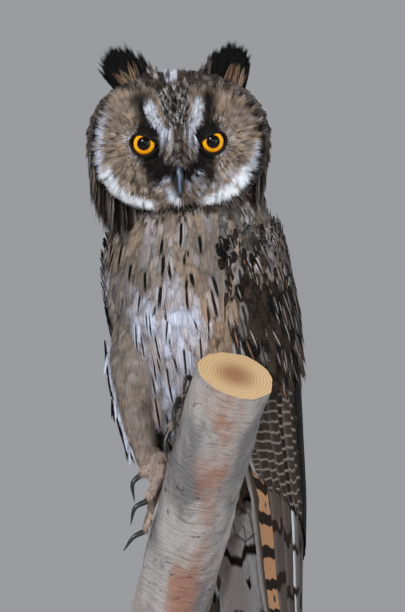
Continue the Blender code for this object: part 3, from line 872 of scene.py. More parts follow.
@dataclass(frozen=True)
class BarkFinish:
    """Grey bark with rusty patches, fine wrinkles across it and dark pits, the creases of the wrinkles and
    the pits darkened as painted shade.
    """

    name: str = "bark"

    def material(self) -> bpy.types.Material:
        """The material.

        Returns:
            The material.
        """
        graph = Graph(self.name)
        place = graph.place()
        x, y, z = graph.parts(place)
        along = x * 0.232 - y * 0.42 + z * 0.877
        beside = x * 0.967 - z * 0.25
        bent = graph.noise(place, 30.0, 2.0) * 0.012
        long = graph.vector(beside, y, along * 0.4)
        wrinkled = graph.vector(beside * 60.0, y * 60.0, (along + bent) * 420.0)
        cloud = graph.noise(long, 40.0, 4.0, 0.55)
        rust = graph.noise(long, 52.0, 5.0, 0.62)
        fine = graph.noise(place, 520.0, 5.0, 0.72)
        wrinkle = graph.noise(wrinkled, 1.0, 4.0, 0.6)
        pits = graph.noise(place, 170.0, 3.0, 0.6)
        pale = graph.mix(tint(0.47, 0.46, 0.47), tint(0.70, 0.68, 0.67), cloud.step(0.36, 0.62))
        middle = 1.0 - (beside + 0.033).size().step(0.001, 0.014)
        fallen = 1.0 - z.step(0.078, 0.100)
        rusty = (rust + fine * 0.25 + middle * 0.22 + fallen * 0.08).step(0.66, 1.02)
        warm = graph.mix(pale, tint(0.62, 0.43, 0.34), rusty * 0.85)
        # Painted shade: darker in the creases of the wrinkles, and in the pits on the next line.
        warm_with_crease_shade = graph.mix(warm, tint(0.30, 0.27, 0.26), wrinkle.step(0.56, 0.72) * 0.5)
        dark = graph.mix(warm_with_crease_shade, tint(0.24, 0.20, 0.18), pits.step(0.64, 0.74) * 0.7)
        speckled = graph.mix(dark, tint(0.80, 0.79, 0.78), fine.step(0.56, 0.72) * 0.4)
        height = cloud * 0.6 + fine * 0.35 - pits.step(0.6, 0.75) * 0.5 - wrinkle * 0.7
        rough = fine * 0.2 + 0.66
        return graph.finish(Base_Color=speckled, Roughness=rough, Normal=graph.bump(height, 0.8, 0.002))


@dataclass(frozen=True)
class CutWoodFinish:
    """A sawn end with growth rings about the branch's centre line.

    Attributes:
        centre: A point on the centre line, in metres.
        axis: The centre line's direction there.
        name: The material's name.
    """

    centre: tuple[float, float, float]
    axis: tuple[float, float, float]
    name: str = "cut_wood"

    def material(self) -> bpy.types.Material:
        """The material.

        Returns:
            The material.
        """
        graph = Graph(self.name)
        place = graph.place()
        away = graph.vector_math("SUBTRACT", {0: place, 1: self.centre})
        cross = graph.vector_math("CROSS_PRODUCT", {0: away, 1: self.axis})
        radius = graph.vector_math("LENGTH", {0: cross}, "Value")
        wobble = graph.noise(place, 60.0, 2.0)
        rings = ((radius * 1000.0 + wobble * 1.6) * 3.4).sine() * 0.5 + 0.5
        fine = graph.noise(place, 700.0, 4.0, 0.7)
        outer = (radius * 1000.0).step(2.0, 17.0)
        heart = graph.mix(tint(0.60, 0.43, 0.28), tint(0.83, 0.70, 0.52), outer)
        ringed = graph.mix(heart, tint(0.52, 0.37, 0.24), rings.power(3.0) * 0.5)
        flecked = graph.mix(ringed, tint(0.90, 0.80, 0.65), fine.step(0.55, 0.75) * 0.3)
        normal = graph.bump(rings * 0.4 + fine * 0.6, 0.35, 0.0004)
        return graph.finish(Base_Color=flecked, Roughness=fine * 0.2 + 0.62, Normal=normal)


@dataclass(frozen=True)
class StainedWoodFinish:
    """Dark waxed wood with a straight grain."""

    name: str = "stained_wood"

    def material(self) -> bpy.types.Material:
        """The material.

        Returns:
            The material.
        """
        graph = Graph(self.name)
        place = graph.place()
        grain = graph.noise(graph.stretched(place, (26.0, 420.0, 420.0)), 1.0, 5.0, 0.62)
        figure = graph.noise(graph.stretched(place, (5.0, 40.0, 40.0)), 1.0, 3.0, 0.5)
        light = (grain * 0.6 + figure * 0.5).step(0.35, 0.75)
        base = graph.mix(tint(0.22, 0.13, 0.08), tint(0.42, 0.27, 0.17), light)
        pores = graph.noise(graph.stretched(place, (90.0, 1500.0, 1500.0)), 1.0, 2.0)
        pored = graph.mix(base, tint(0.10, 0.06, 0.04), pores.step(0.60, 0.72) * 0.6)
        normal = graph.bump(grain * 0.5 - pores * 0.3, 0.25, 0.0004)
        return graph.finish(Base_Color=pored, Roughness=grain * 0.2 + 0.32, Normal=normal, Coat_Weight=0.2)


@dataclass(frozen=True)
class SteelFinish:
    """Brushed steel."""

    name: str = "brushed_steel"

    def material(self) -> bpy.types.Material:
        """The material.

        Returns:
            The material.
        """
        graph = Graph(self.name)
        brushed = graph.noise(graph.stretched(graph.place(), (180.0, 180.0, 5200.0)), 1.0, 3.0, 0.6)
        colour = graph.mix(tint(0.60, 0.60, 0.61), tint(0.80, 0.80, 0.81), brushed)
        normal = graph.bump(brushed, 0.15, 0.0001)
        return graph.finish(Base_Color=colour, Roughness=brushed * 0.2 + 0.22, Metallic=1.0, Normal=normal)


@dataclass(frozen=True)
class EyeFinish:
    """Amber iris with fine spokes, a dark rim and a black pupil, read from the eye's own map."""

    name: str = "eye"

    def material(self) -> bpy.types.Material:
        """The material.

        Returns:
            The material.
        """
        graph = Graph(self.name)
        map_node = graph.node("ShaderNodeUVMap", {"uv_map": GAZE_MAP})
        x, y, _ = graph.parts(map_node)
        x, y = (x - 0.5) * 20.0, (y - 0.5) * 20.0
        radius = (x * x + y * y).power(0.5)
        angle = y.math("ARCTAN2", x)
        spokes = graph.noise(graph.vector(angle * 9.0, radius * 0.5, 0.0), 2.0, 3.0, 0.65)
        mottle = graph.noise(graph.vector(x, y, 0.0), 0.9, 3.0, 0.6)
        bright = (spokes * 0.6 + mottle * 0.5).step(0.35, 0.7)
        amber = graph.mix(tint(0.93, 0.58, 0.0), tint(1.0, 0.76, 0.02), bright)
        low = graph.mix(amber, tint(0.88, 0.46, 0.0), (y * -1.0).step(2.0, 6.5) * 0.6)
        inner = graph.mix(tint(0.82, 0.46, 0.0), low, radius.step(PUPIL_RADIUS, PUPIL_RADIUS + 0.5))
        edged = graph.mix(inner, tint(0.55, 0.26, 0.01), radius.step(IRIS_RADIUS - 0.6, IRIS_RADIUS))
        rim = radius.step(IRIS_RADIUS - 0.15, IRIS_RADIUS + 0.15)
        ringed = graph.mix(edged, tint(0.02, 0.015, 0.01), rim)
        pupil = radius.step(PUPIL_RADIUS - 0.1, PUPIL_RADIUS + 0.1)
        whole = graph.mix(tint(0.01, 0.01, 0.03), ringed, pupil)
        shine = {"Specular_IOR_Level": 0.0, "Coat_Weight": 1.0, "Coat_Roughness": 0.02, "Coat_IOR": 1.3}
        return graph.finish(Base_Color=whole, Roughness=0.4, **shine)


@dataclass(frozen=True)
class SkinFinish:
    """Bare skin such as the lids and the toes' pads.

    Attributes:
        name: The material's name.
        low: Colour in its folds, darker there as painted shade.
        high: Colour of its raised scales.
        scale: How fine the scales are.
        roughness: Its roughness.
    """

    name: str
    low: tuple[float, float, float]
    high: tuple[float, float, float]
    scale: float = 1400.0
    roughness: float = 0.5

    def material(self) -> bpy.types.Material:
        """The material.

        Returns:
            The material.
        """
        graph = Graph(self.name)
        values = {"Vector": graph.place(), "Scale": self.scale}
        cells = graph.node("ShaderNodeTexVoronoi", None, values, "Distance")
        cloud = graph.noise(graph.place(), 300.0, 3.0)
        # Painted shade: darker in the folds, where the bump is low.
        colour = graph.mix(self.low, self.high, (cells * 0.8 + cloud * 0.5).step(0.3, 0.9))
        normal = graph.bump(cells, 0.3, 0.0002)
        rough = cloud * 0.2 + (self.roughness - 0.1)
        return graph.finish(Base_Color=colour, Roughness=rough, Normal=normal, Specular_IOR_Level=0.2)


@dataclass(frozen=True)
class CoatedSkinFinish:
    """The skin under the coat, with the coat's own markings, darkened as painted shade between the
    feathers.
    """

    name: str = "coated_skin"

    def material(self) -> bpy.types.Material:
        """The material.

        Returns:
            The material.
        """
        graph = Graph(self.name)
        ground = graph.attribute("ground")
        mark = graph.attribute("mark")
        down = graph.noise(graph.place(), 700.0, 3.0, 0.7)
        colour = graph.mix(ground, mark, down.step(0.45, 0.6) * 0.6)
        # Painted shade: the skin shows only in the gaps between the feathers, so its colours are darkened.
        shaded = graph.vector_math("SCALE", {0: colour, "Scale": 0.55})
        return graph.finish(Base_Color=shaded, Roughness=0.9, Normal=graph.bump(down, 0.5, 0.0008))


Line = Sequence[Sequence[float]]


def near(x: np.ndarray, z: np.ndarray, line: Line, half: float, soft: float) -> np.ndarray:
    """How much places lie on a painted stroke.

    Args:
        x: Places across.
        z: Places up.
        line: The stroke's points.
        half: Its half-width.
        soft: How soft its edge is.

    Returns:
        Shares from 0 to 1.
    """
    best = np.full(len(x), 1e9)
    for (ax, az), (bx, bz) in zip(line, line[1:]):
        dx, dz = bx - ax, bz - az
        part = np.clip(((x - ax) * dx + (z - az) * dz) / (dx * dx + dz * dz), 0, 1)
        best = np.minimum(best, np.hypot(x - ax - part * dx, z - az - part * dz))
    return 1 - smooth(best, half - soft, half + soft)


def strokes(x: np.ndarray, z: np.ndarray, *drawn: tuple[Line, float, float]) -> np.ndarray:
    """How much places lie on any of several painted strokes."""
    return np.clip(sum(near(x, z, *stroke) for stroke in drawn), 0, 1)


def cloud(points: np.ndarray, sizes: Sequence[float], seed: float) -> np.ndarray:
    """Soft patches over space."""
    rows = np.asarray(points) / np.array(sizes) + seed * 17.3
    return np.array([noise.noise(row) for row in rows.tolist()]) * 0.5 + 0.5


@dataclass
class Looks:
    """The colours and markings of many feathers, one a row.

    Attributes:
        ground: Main colour.
        mark: Colour of the markings.
        ink: Shares of a feather that its shaft streak, its bars and its mottling take.
        band: Bars along a feather, half-width of its streak, and its own seed.
    """

    ground: np.ndarray
    mark: np.ndarray
    ink: np.ndarray
    band: np.ndarray

    @classmethod
    def plain(
        cls, count: int, ground: np.ndarray, mark: np.ndarray, rng: np.random.Generator
    ) -> "Looks":
        """Unmarked feathers.

        Args:
            count: How many.
            ground: Their colour.
            mark: Colour that their markings would have.
            rng: Source of each one's seed.

        Returns:
            The looks.
        """
        band = np.column_stack([np.full(count, 4.0), np.full(count, 0.2), rng.random(count)])
        grounds = np.broadcast_to(ground, (count, 3)).copy()
        return cls(grounds, np.tile(mark, (count, 1)), np.zeros((count, 3)), band)

    def lay(
        self,
        share: np.ndarray,
        ground: np.ndarray | None = None,
        mark: np.ndarray | None = None,
        ink: tuple[float, float, float] | None = None,
        band: tuple[float, float] | None = None,
    ) -> None:
        """Lays a look over some of the feathers.

        Args:
            share: How much each feather takes.
            ground: Colour.
            mark: Colour of the markings.
            ink: Shares that the streak, the bars and the mottling take.
            band: Bars along a feather, and half-width of its streak.
        """
        if ground is not None:
            self.ground = blended(self.ground, ground, share)
        if mark is not None:
            self.mark = blended(self.mark, mark, share)
        if ink is not None:
            self.ink = blended(self.ink, np.array(ink), share)
        if band is not None:
            self.band[:, :2] = blended(self.band[:, :2], np.array(band), share)

    def varied(self, amount: float, rng: np.random.Generator) -> "Looks":
        """Gives each feather its own lightness.

        Args:
            amount: Spread of the lightness.
            rng: Source of chance.

        Returns:
            These looks.
        """
        change = 1 + rng.normal(0, amount, (len(self.ground), 1))
        self.ground = np.clip(self.ground * change, 0.003, 0.95)
        return self

    def fields(self, chosen: np.ndarray | slice = slice(None)) -> dict[str, np.ndarray]:
        """The point attributes that the plumage reads."""
        rows = {"ground": self.ground, "mark": self.mark, "ink": self.ink, "band": self.band}
        return {key: value[chosen] for key, value in rows.items()}


def disc_share(x: np.ndarray, z: np.ndarray) -> tuple[np.ndarray, np.ndarray]:
    """Where places lie in the facial disc."""
    angle = np.degrees(np.arctan2(z, x)) % 360
    return np.hypot(x, z) / smooth_rows(DISC_OUTLINE, angle)[:, 0], angle


def eye_distance(x: np.ndarray, z: np.ndarray) -> np.ndarray:
    """How far places on the face are from the nearer eye, as seen from the front."""
    return np.minimum(np.hypot(x - EYE_SPACING / 2, z), np.hypot(x + EYE_SPACING / 2, z))


class HeadMarkings:
    """The markings of the face, the rim round it and the rest of the head, laid on in order."""

    DARK_STROKES = (
        (((-20.6, 25), (-19.4, 16), (-18.0, 9)), 4.6, 4.4),
        (((18.0, 26), (16.8, 17), (16.4, 9)), 4.6, 3.8),
        (((-19.0, 9), (-12.0, 5)), 4.0, 1.6),
        (((19.0, 9), (12.0, 5)), 4.0, 1.6),
        (((-13.0, -4), (-9.0, -17)), 4.6, 2.0),
        (((-18.0, -10), (-13.5, -20)), 4.4, 2.6),
        (((13.0, -4), (11.5, -17)), 4.4, 2.0),
        (((17.5, -10), (17.0, -19)), 3.6, 2.4),
        (((-11.0, 4), (-9.5, -6)), 2.2, 1.2),
        (((11.0, 4), (9.8, -6)), 2.2, 1.2),
    )
    BROWS = (
        ((-15.6, 21.5), (-14.4, 18.0), (-11.6, 12.0), (-8.6, 6.0), (-7.0, 2.0)),
        ((11.8, 22.0), (11.0, 19.0), (9.2, 13.0), (7.4, 7.0), (6.6, 2.0)),
    )
    LORES = (((-6.0, 7.0), (-8.0, -3)), ((5.4, 6.0), (8.6, -3)))
    BILL_SIDES = (((-6.4, -14.0), (-5.0, -20.5)), ((7.0, -13.0), (6.4, -19.5)))

    def __init__(self, points: np.ndarray, rng: np.random.Generator) -> None:
        """Reads where the feathers show and draws their chance.

        Args:
            points: Rows in metres.
            rng: Source of chance.
        """
        spot = HEAD.into(points)
        self.x, self.y, self.z = spot.T
        count = len(points)
        reach, self.angle = disc_share(self.x, self.z)
        self.reach = reach + rng.normal(0, 0.006, count)
        self.jx = self.x + rng.normal(0, 0.5, count)
        self.jz = self.z + rng.normal(0, 0.5, count)
        self.draw, self.other = rng.random(count), rng.random(count)
        self.tone = cloud(spot, (8, 8, 8), 1)
        plain = blended(FAWN, BUFF, smooth(self.tone, 0.38, 0.60))
        self.looks = Looks.plain(count, plain, UMBER, rng)

    def _stroke(self, line: Line, half: float, soft: float) -> np.ndarray:
        """How much feathers lie on a stroke with a ragged edge."""
        return near(self.jx, self.jz, line, half, soft)

    def _arcs(self, half: float, soft: float, *spans: tuple[float, float]) -> np.ndarray:
        """How much feathers lie within spans of direction round the disc, in degrees."""
        drawn = [(((low, 0), (high, 0)), half, soft) for low, high in spans]
        return strokes(self.angle, self.reach * 0, *drawn)

    def lay(self) -> Looks:
        """All markings, the later over the earlier."""
        self._lay_disc()
        self._lay_pale_edge()
        self._lay_eyes()
        self._lay_wedge()
        self._lay_brows()
        self._lay_bill_surround()
        self._lay_rim()
        self._lay_crown()
        return self.looks

    def _lay_disc(self) -> None:
        """Brown and pale specks all over, and more of them low down."""
        looks, x, z, other = self.looks, self.x, self.z, self.other
        looks.lay((self.draw < 0.13) * 0.8, ground=BROWN)
        looks.lay((self.draw > 0.93) * 0.5, ground=PALE)
        low = smooth(-z, 8, 24)
        looks.lay(low * (other < 0.16), ground=UMBER)
        looks.lay(low * (other > 0.80) * (x > 10) * 0.8, ground=LAVENDER)
        below = smooth(-z, 20, 28) * (1 - smooth(np.abs(x), 22, 32))
        looks.lay(below * (1 - smooth(self.reach, 0.80, 0.86)) * (other < 0.45), ground=UMBER)

    def _lay_pale_edge(self) -> None:
        """A pale band inside the rim, with a white crescent low on each side."""
        looks, reach = self.looks, self.reach
        inside = 1 - smooth(reach, 0.955, 0.975)
        sides = self._arcs(5, 6, (160, 206), (330, 372))
        looks.lay(smooth(reach, 0.90, 0.93) * inside * sides * (self.draw < 0.85), ground=LAVENDER)
        crescents = self._arcs(4, 4, (203, 243), (297, 334)) * smooth(reach, 0.81, 0.85) * inside
        looks.lay(crescents, ground=WHITE)
        looks.lay(crescents * (self.other < 0.12), ground=GREY)

    def _lay_eyes(self) -> None:
        """Black rings round the eyes with pale specks, and dark strokes above and below them."""
        looks, draw, other = self.looks, self.draw, self.other
        away = eye_distance(self.x, self.z)
        ring = smooth(away, 8.6, 9.4) * (1 - smooth(away, 10.6, 12.2))
        looks.lay(ring * (other < 0.35) * 0.8, ground=LAVENDER)
        looks.lay(1 - smooth(away, 8.2, 9.8), ground=BLACK)
        left, right = (((-29, 6), (-31, 2)), 1.8, 1.5), (((29.5, 5), (31.5, 0)), 2.0, 1.5)
        beside = strokes(self.x, self.z, left, right)
        looks.lay(beside * (draw < 0.7) * 0.8, ground=PALE)
        for stroke in self.DARK_STROKES:
            looks.lay(self._stroke(*stroke), ground=blended(BLACK, UMBER, other * 0.5))

    def _lay_wedge(self) -> None:
        """The speckled wedge on the forehead."""
        looks, draw = self.looks, self.draw
        half = np.interp(self.z, (0, 34), (4.4, 10.5))
        away = np.abs(self.jx + self.z * 0.07)
        wedge = (1 - smooth(away, half - 1.0, half + 0.6)) * smooth(self.z, 1, 6)
        wedge *= 1 - smooth(self.reach, 1.10, 1.16)
        looks.lay(wedge, ground=GREY, mark=BLACK, ink=(0.0, 0.0, 0.8))
        looks.lay(wedge * (draw < 0.45), ground=BLACK)
        looks.lay(wedge * (draw > 0.70), ground=PALE)
        looks.lay(wedge * (draw > 0.90), ground=FAWN)

    def _lay_brows(self) -> None:
        """The two pale brows beside the wedge, and the pale lines from them to the bill."""
        looks, x, z, other = self.looks, self.x, self.z, self.other
        for line in self.BROWS:
            brow = near(x + (self.jx - x) * 0.4, z, line, 2.3, 0.5) + near(x, z, line[:3], 3.0, 0.5)
            brow = np.clip(brow, 0, 1)
            white = smooth(z, 6, 22) * self.draw
            looks.lay(brow, ground=blended(blended(ASH, LAVENDER, other), WHITE, white))
            looks.lay(brow, ink=NO_INK)
            looks.lay(brow * (other < 0.30), ground=GREY)
        for line in self.LORES:
            pale = self._stroke(line, 1.5, 0.7) * (self.draw < 0.6)
            looks.lay(pale, ground=blended(ASH, LAVENDER, other))

    def _lay_bill_surround(self) -> None:
        """The bridge over the bill, the dark sides of the bill, whiskers and chin."""
        looks, draw, other = self.looks, self.draw, self.other
        left, right = (((-4.6, -1), (-6.2, -13)), 2.4, 0.9), (((4.6, -1), (6.2, -15)), 2.4, 0.9)
        bridge = strokes(self.jx, self.jz, left, right)
        looks.lay(bridge, ground=blended(BUFF, PALE, draw))
        looks.lay(bridge * (draw < 0.35), ground=UMBER)
        for line in self.BILL_SIDES:
            looks.lay(self._stroke(line, 3.2, 1.0), ground=blended(BLACK, UMBER, other * 0.6))
        middle = self._stroke(((0, 2), (0, -16)), 2.5, 0.8)
        looks.lay(middle, ground=blended(BLACK, BROWN, draw))
        looks.lay(middle * (draw < 0.3), ground=ASH)
        left, right = (((-6.5, -21), (-12.0, -26)), 2.0, 1.0), (((5.0, -25), (12.0, -18)), 1.6, 1.0)
        looks.lay(strokes(self.jx, self.jz, left, right) * (draw < 0.5), ground=LAVENDER)
        white = self._stroke(((-7.0, -27), (-3.0, -32)), 2.6, 0.9)
        looks.lay(white, ground=blended(LAVENDER, WHITE, other))
        chin = (1 - smooth(np.abs(self.x), 9, 14)) * (1 - smooth(self.z, -36, -32))
        looks.lay(chin, ground=blended(FAWN, UMBER, (other < 0.55).astype(float)))

    def _lay_rim(self) -> None:
        """The black rim, and the streaked feathers beyond it."""
        looks, draw, reach = self.looks, self.draw, self.reach
        lower = smooth(-np.sin(np.radians(self.angle)), -0.5, 0.1)
        rim = smooth(reach, 0.955, 0.975) * (1 - smooth(reach, 1.02, 1.04))
        looks.lay(rim * (draw < 0.75 + 0.25 * lower), ground=BLACK)
        beyond = smooth(reach, 1.02, 1.04)
        ground = blended(GREY, FAWN, self.tone)
        looks.lay(beyond, ground=ground, mark=UMBER, ink=(0.9, 0.0, 0.5), band=(3.0, 0.30))
        looks.lay(beyond * (draw < 0.45), ground=UMBER)
        looks.lay(beyond * (draw > 0.86), ground=ASH)

    def _lay_crown(self) -> None:
        """The dark, pale-mottled crown and the streaked back of the head."""
        looks, x, y, z, draw = self.looks, self.x, self.y, self.z, self.draw
        left, right = (((-26, 34.5), (-10, 36.5)), 1.7, 1.0), (((9, 36.5), (27, 34.5)), 1.7, 1.0)
        looks.lay(strokes(x, z, left, right) * (draw < 0.3) * (y < 0), ground=PALE)
        crown = smooth(self.reach, 0.99, 1.03) * smooth(z, 22, 27) * (1 - smooth(np.abs(x), 32, 40))
        ground = blended(BLACK, BROWN, self.other)
        looks.lay(crown, ground=ground, mark=PALE, ink=(0.0, 0.0, 0.42), band=(3.0, 0.2))
        looks.lay(crown * (draw > 0.84), ground=ASH)
        spot = self._stroke(((-4, 38), (-2, 42)), 2.6, 1.0) * (y < 5)
        looks.lay(spot, ground=LAVENDER, ink=(0.0, 0.0, 0.2))
        behind = smooth(y, -7, -2) * (z < 37)
        ground = blended(GREY, FAWN, self.tone)
        looks.lay(behind, ground=ground, mark=UMBER, ink=(0.9, 0.0, 0.55), band=(3.0, 0.30))
        looks.lay(behind * (draw < 0.5), ground=UMBER)
        looks.lay(behind * (draw > 0.9), ground=ASH)


def head_looks(points: np.ndarray, rng: np.random.Generator) -> Looks:
    """The looks of feathers of the head that show at given points."""
    return HeadMarkings(points, rng).lay().varied(0.10, rng)


def around_body(points: np.ndarray) -> np.ndarray:
    """Degrees from the breast towards the back, for rows in metres."""
    bx, by, _ = BODY.into(points).T
    return np.degrees(np.arctan2(np.abs(bx), -by))


def body_looks(points: np.ndarray, rng: np.random.Generator, cover: bool, dark: float) -> Looks:
    """The markings of the breast, belly, flanks and back.

    Args:
        points: Rows in metres.
        rng: Source of chance.
        cover: Whether these are the streaked feathers on top of the plain ones.
        dark: How often feathers are dark: 0 is never, and over 3 is always.

    Returns:
        The looks.
    """
    spot = BODY.into(points)
    x, z = points[:, 0] / MM, points[:, 2] / MM
    count = len(x)
    draw, other = rng.random(count), rng.random(count)
    patch = smooth(cloud(spot, (5.0, 5.0, 16), 2), 0.42, 0.58)
    tone = cloud(spot, (12, 12, 20), 3)
    breast = smooth(z, 236, 262)
    around = around_body(points)
    warm = np.clip(smooth(x, -14, 2) * 0.7 + smooth(tone, 0.5, 0.62) * 0.3, 0, 1)
    plain = blended(LAVENDER, BUFF, np.clip(patch * 0.45 + warm * 0.75, 0, 1))
    looks = Looks.plain(count, plain, UMBER, rng)
    looks.lay(warm * patch * 0.5, ground=WARM)
    looks.lay(smooth(x, -2, 14) * 0.6, ground=FAWN)
    looks.lay(breast, ground=blended(FAWN, LAVENDER, (1 - patch) * 0.3))
    looks.lay(breast * smooth(tone, 0.46, 0.58) * 0.6, ground=GREY)
    looks.lay(rng.random(count) < dark * (0.4 + breast), ground=blended(UMBER, BROWN, other))
    if cover:
        looks.lay(np.ones(count), mark=UMBER, ink=(1.0, 0.0, 0.0), band=(3.0, 0.15))
        looks.lay(breast, mark=BLACK, ink=(1.0, 0.0, 0.3), band=(3.0, 0.30))
        looks.lay(breast * (other < 0.4), ink=(0.0, 0.0, 0.3))
    else:
        looks.lay(np.ones(count), ink=NO_INK)
    flank = flank_share(points)
    grey = blended(GREY, ASH, other)
    looks.lay(flank, ground=blended(grey, FAWN, draw), ink=NO_INK)
    looks.lay(flank * (draw < 0.10) * 0.6, ground=BROWN)
    shoulder = near(x, z, ((14, 289), (31, 272)), 8, 4) * (spot[:, 1] < 0)
    looks.lay(shoulder * (other < (0.3 if cover else 0.75)), ground=blended(BLACK, GREY, draw))
    back = smooth(around, 88, 112)
    ground = blended(GREY, FAWN, draw)
    looks.lay(back, ground=ground, mark=UMBER, ink=(0.9, 0.0, 0.5), band=(3.5, 0.24))
    looks.lay(back * (other > 0.86), ground=PALE)
    looks.lay(back * (other < 0.3), ground=BROWN)
    return looks.varied(0.06, rng)


def streaked_columns(points: np.ndarray, thin: bool) -> np.ndarray:
    """Which places lie on the wavering columns of streaked feathers.

    Args:
        points: Rows in metres.
        thin: Whether only their long middle lines count.

    Returns:
        True for those that do.
    """
    spot = BODY.into(points)
    around = np.degrees(np.arctan2(spot[:, 0], -spot[:, 1]))
    sway = cloud(spot, (60, 60, 34), 6) * 26
    column = (around + sway - spot[:, 2] * 0.12) / 13.0
    if thin:
        long = (cloud(spot, (9, 9, 16), 7) > 0.44) & (spot[:, 2] < 8)
        return (np.abs(column % 1 - 0.5) < 0.04) & long
    step = spot[:, 2] / 11.0 + 0.5 * (np.floor(column) % 2)
    return (np.abs(column % 1 - 0.5) < 0.07) & (np.abs(step % 1 - 0.5) < 0.2)


def flank_share(points: np.ndarray) -> np.ndarray:
    """How much places belong to the plain flank under the owl's right wing.

    Args:
        points: Rows in metres.

    Returns:
        Shares from 0 to 1.
    """
    right = -BODY.into(points)[:, 0]
    z = points[:, 2] / MM
    return smooth(right, 12, 26) * (1 - smooth(z, 236, 256)) * (1 - smooth(around_body(points), 105, 125))


def covert_looks(points: np.ndarray, rng: np.random.Generator) -> Looks:
    """The dark, pale-dashed markings of the wing's small feathers.

    Args:
        points: Rows in metres.
        rng: Source of chance.

    Returns:
        The looks.
    """
    count = len(points)
    draw, other = rng.random(count), rng.random(count)
    looks = Looks.plain(count, blended(BLACK, BROWN, other * 0.75), ASH, rng)
    looks.lay(np.ones(count), ink=(0.0, 0.0, 0.38), band=(4.0, 0.12))
    looks.lay(rng.random(count) < 0.4, ink=(1.0, 0.0, 0.4))
    looks.lay(draw < 0.30, mark=WARM)
    looks.lay(draw > 0.93, ground=ASH, mark=BLACK, ink=(0.9, 0.0, 0.4), band=(3.0, 0.4))
    looks.lay((draw > 0.86) & (draw < 0.93), ground=GREY, mark=BLACK, ink=(0.9, 0.0, 0.4))
    return looks.varied(0.15, rng)


def leg_looks(points: np.ndarray, rng: np.random.Generator) -> Looks:
    """The plain feathers of the legs and toes.

    Args:
        points: Rows in metres.
        rng: Source of chance.

    Returns:
        The looks.
    """
    count = len(points)
    toe = 1 - smooth(points[:, 2] / MM, 146, 190)
    looks = Looks.plain(count, blended(ASH, FAWN, rng.random(count)), GREY, rng)
    pink = blended(tint(0.68, 0.57, 0.50), tint(0.76, 0.70, 0.67), rng.random(count))
    looks.lay(toe * 0.85, ground=pink)
    looks.lay((rng.random(count) < 0.12) * 0.6, ground=BROWN)
    return looks.varied(0.12, rng)


def eulers(normals: np.ndarray, aims: np.ndarray, lift: np.ndarray) -> np.ndarray:
    """Turns that lay feathers along a surface.

    Args:
        normals: The surface's normals.
        aims: Where the feathers point.
        lift: Radians that their tips rise by.

    Returns:
        XYZ Euler angles, one row each.
    """
    flat = unit(aims - normals * np.sum(aims * normals, axis=1, keepdims=True))
    rise, run = np.sin(lift)[:, None], np.cos(lift)[:, None]
    along = flat * run + normals * rise
    out = normals * run - flat * rise
    across = np.cross(along, out)
    return np.column_stack(
        [
            np.arctan2(along[:, 2], out[:, 2]),
            -np.arcsin(np.clip(across[:, 2], -1, 1)),
            np.arctan2(across[:, 1], across[:, 0]),
        ]
    )


@dataclass(frozen=True)
class Feather:
    """The form of one soft body feather: a short sheet with loose barbs along its sides and tip.

    Attributes:
        length: Millimetres.
        width: Millimetres.
        barbs: How many loose barbs it has.
        rows: Rows of points of its sheet.
        columns: Cells across its sheet.
        curl: How far it bends down along its length, in millimetres.
        cup: How far its edges bend down, in millimetres.
        thick: Width of a barb at its root, in millimetres.
    """

    length: float
    width: float
    barbs: int = 22
    rows: int = 4
    columns: int = 4
    curl: float = 1.2
    cup: float = 0.7
    thick: float = 0.55

    def make(self, name: str, rng: np.random.Generator) -> bpy.types.Object:
        """One variant as a mesh.

        Args:
            name: Its name.
            rng: Source of chance.

        Returns:
            The hidden object.
        """
        across = np.linspace(-1, 1, self.columns + 1)
        share = np.linspace(0, 0.74, self.rows)
        broad = np.interp(share, (0, 0.25, 0.5, 0.74), (0.3, 0.7, 0.78, 0.55))
        spots = [(u * w, v + 0.06 * (1 - u * u) * v, 0.0) for v, w in zip(share, broad) for u in across]
        faces: list[Sequence[int]] = list(grid_faces(self.rows, self.columns + 1))
        for b in range(self.barbs):
            side = 1 if b % 2 else -1
            part = (b + 0.5) / self.barbs
            if part < 0.3:
                tip_u, tip_v = 0.85 + part * 0.5, 0.25 + part * 0.9
            else:
                bend = (part - 0.3) / 0.7 * math.pi / 2
                tip_u, tip_v = math.cos(bend), 0.52 + 0.48 * math.sin(bend)
            tip_u *= side * rng.uniform(0.9, 1.12)
            tip_v *= rng.uniform(0.95, 1.06)
            root_u, root_v = tip_u * 0.42, max(0.02, tip_v - 0.34)
            half = self.thick / self.width
            start = len(spots)
            for step, wide in ((0.0, 1.0), (0.6, 0.8), (1.0, 0.0)):
                u = root_u + (tip_u - root_u) * (step**0.8)
                v = root_v + (tip_v - root_v) * step
                rise = 0.10 + 0.18 * step * rng.normal(0, 1)
                for shift in (-half * wide, half * wide) if wide else (0.0,):
                    spots.append((u + shift, v, rise))
            faces += [(start, start + 1, start + 3, start + 2), (start + 2, start + 3, start + 4)]
        flat = np.array(spots)
        x, y = flat[:, 0] * self.width / 2, flat[:, 1] * self.length
        z = -self.curl * flat[:, 1] ** 2 - self.cup * flat[:, 0] ** 2 + flat[:, 2]
        uv = np.column_stack([0.5 + flat[:, 0] * 0.5, flat[:, 1]])
        made = mesh_object(name, np.column_stack([x, y, z]) * MM, faces, {VANE_MAP: uv})
        made.hide_render = True
        return made


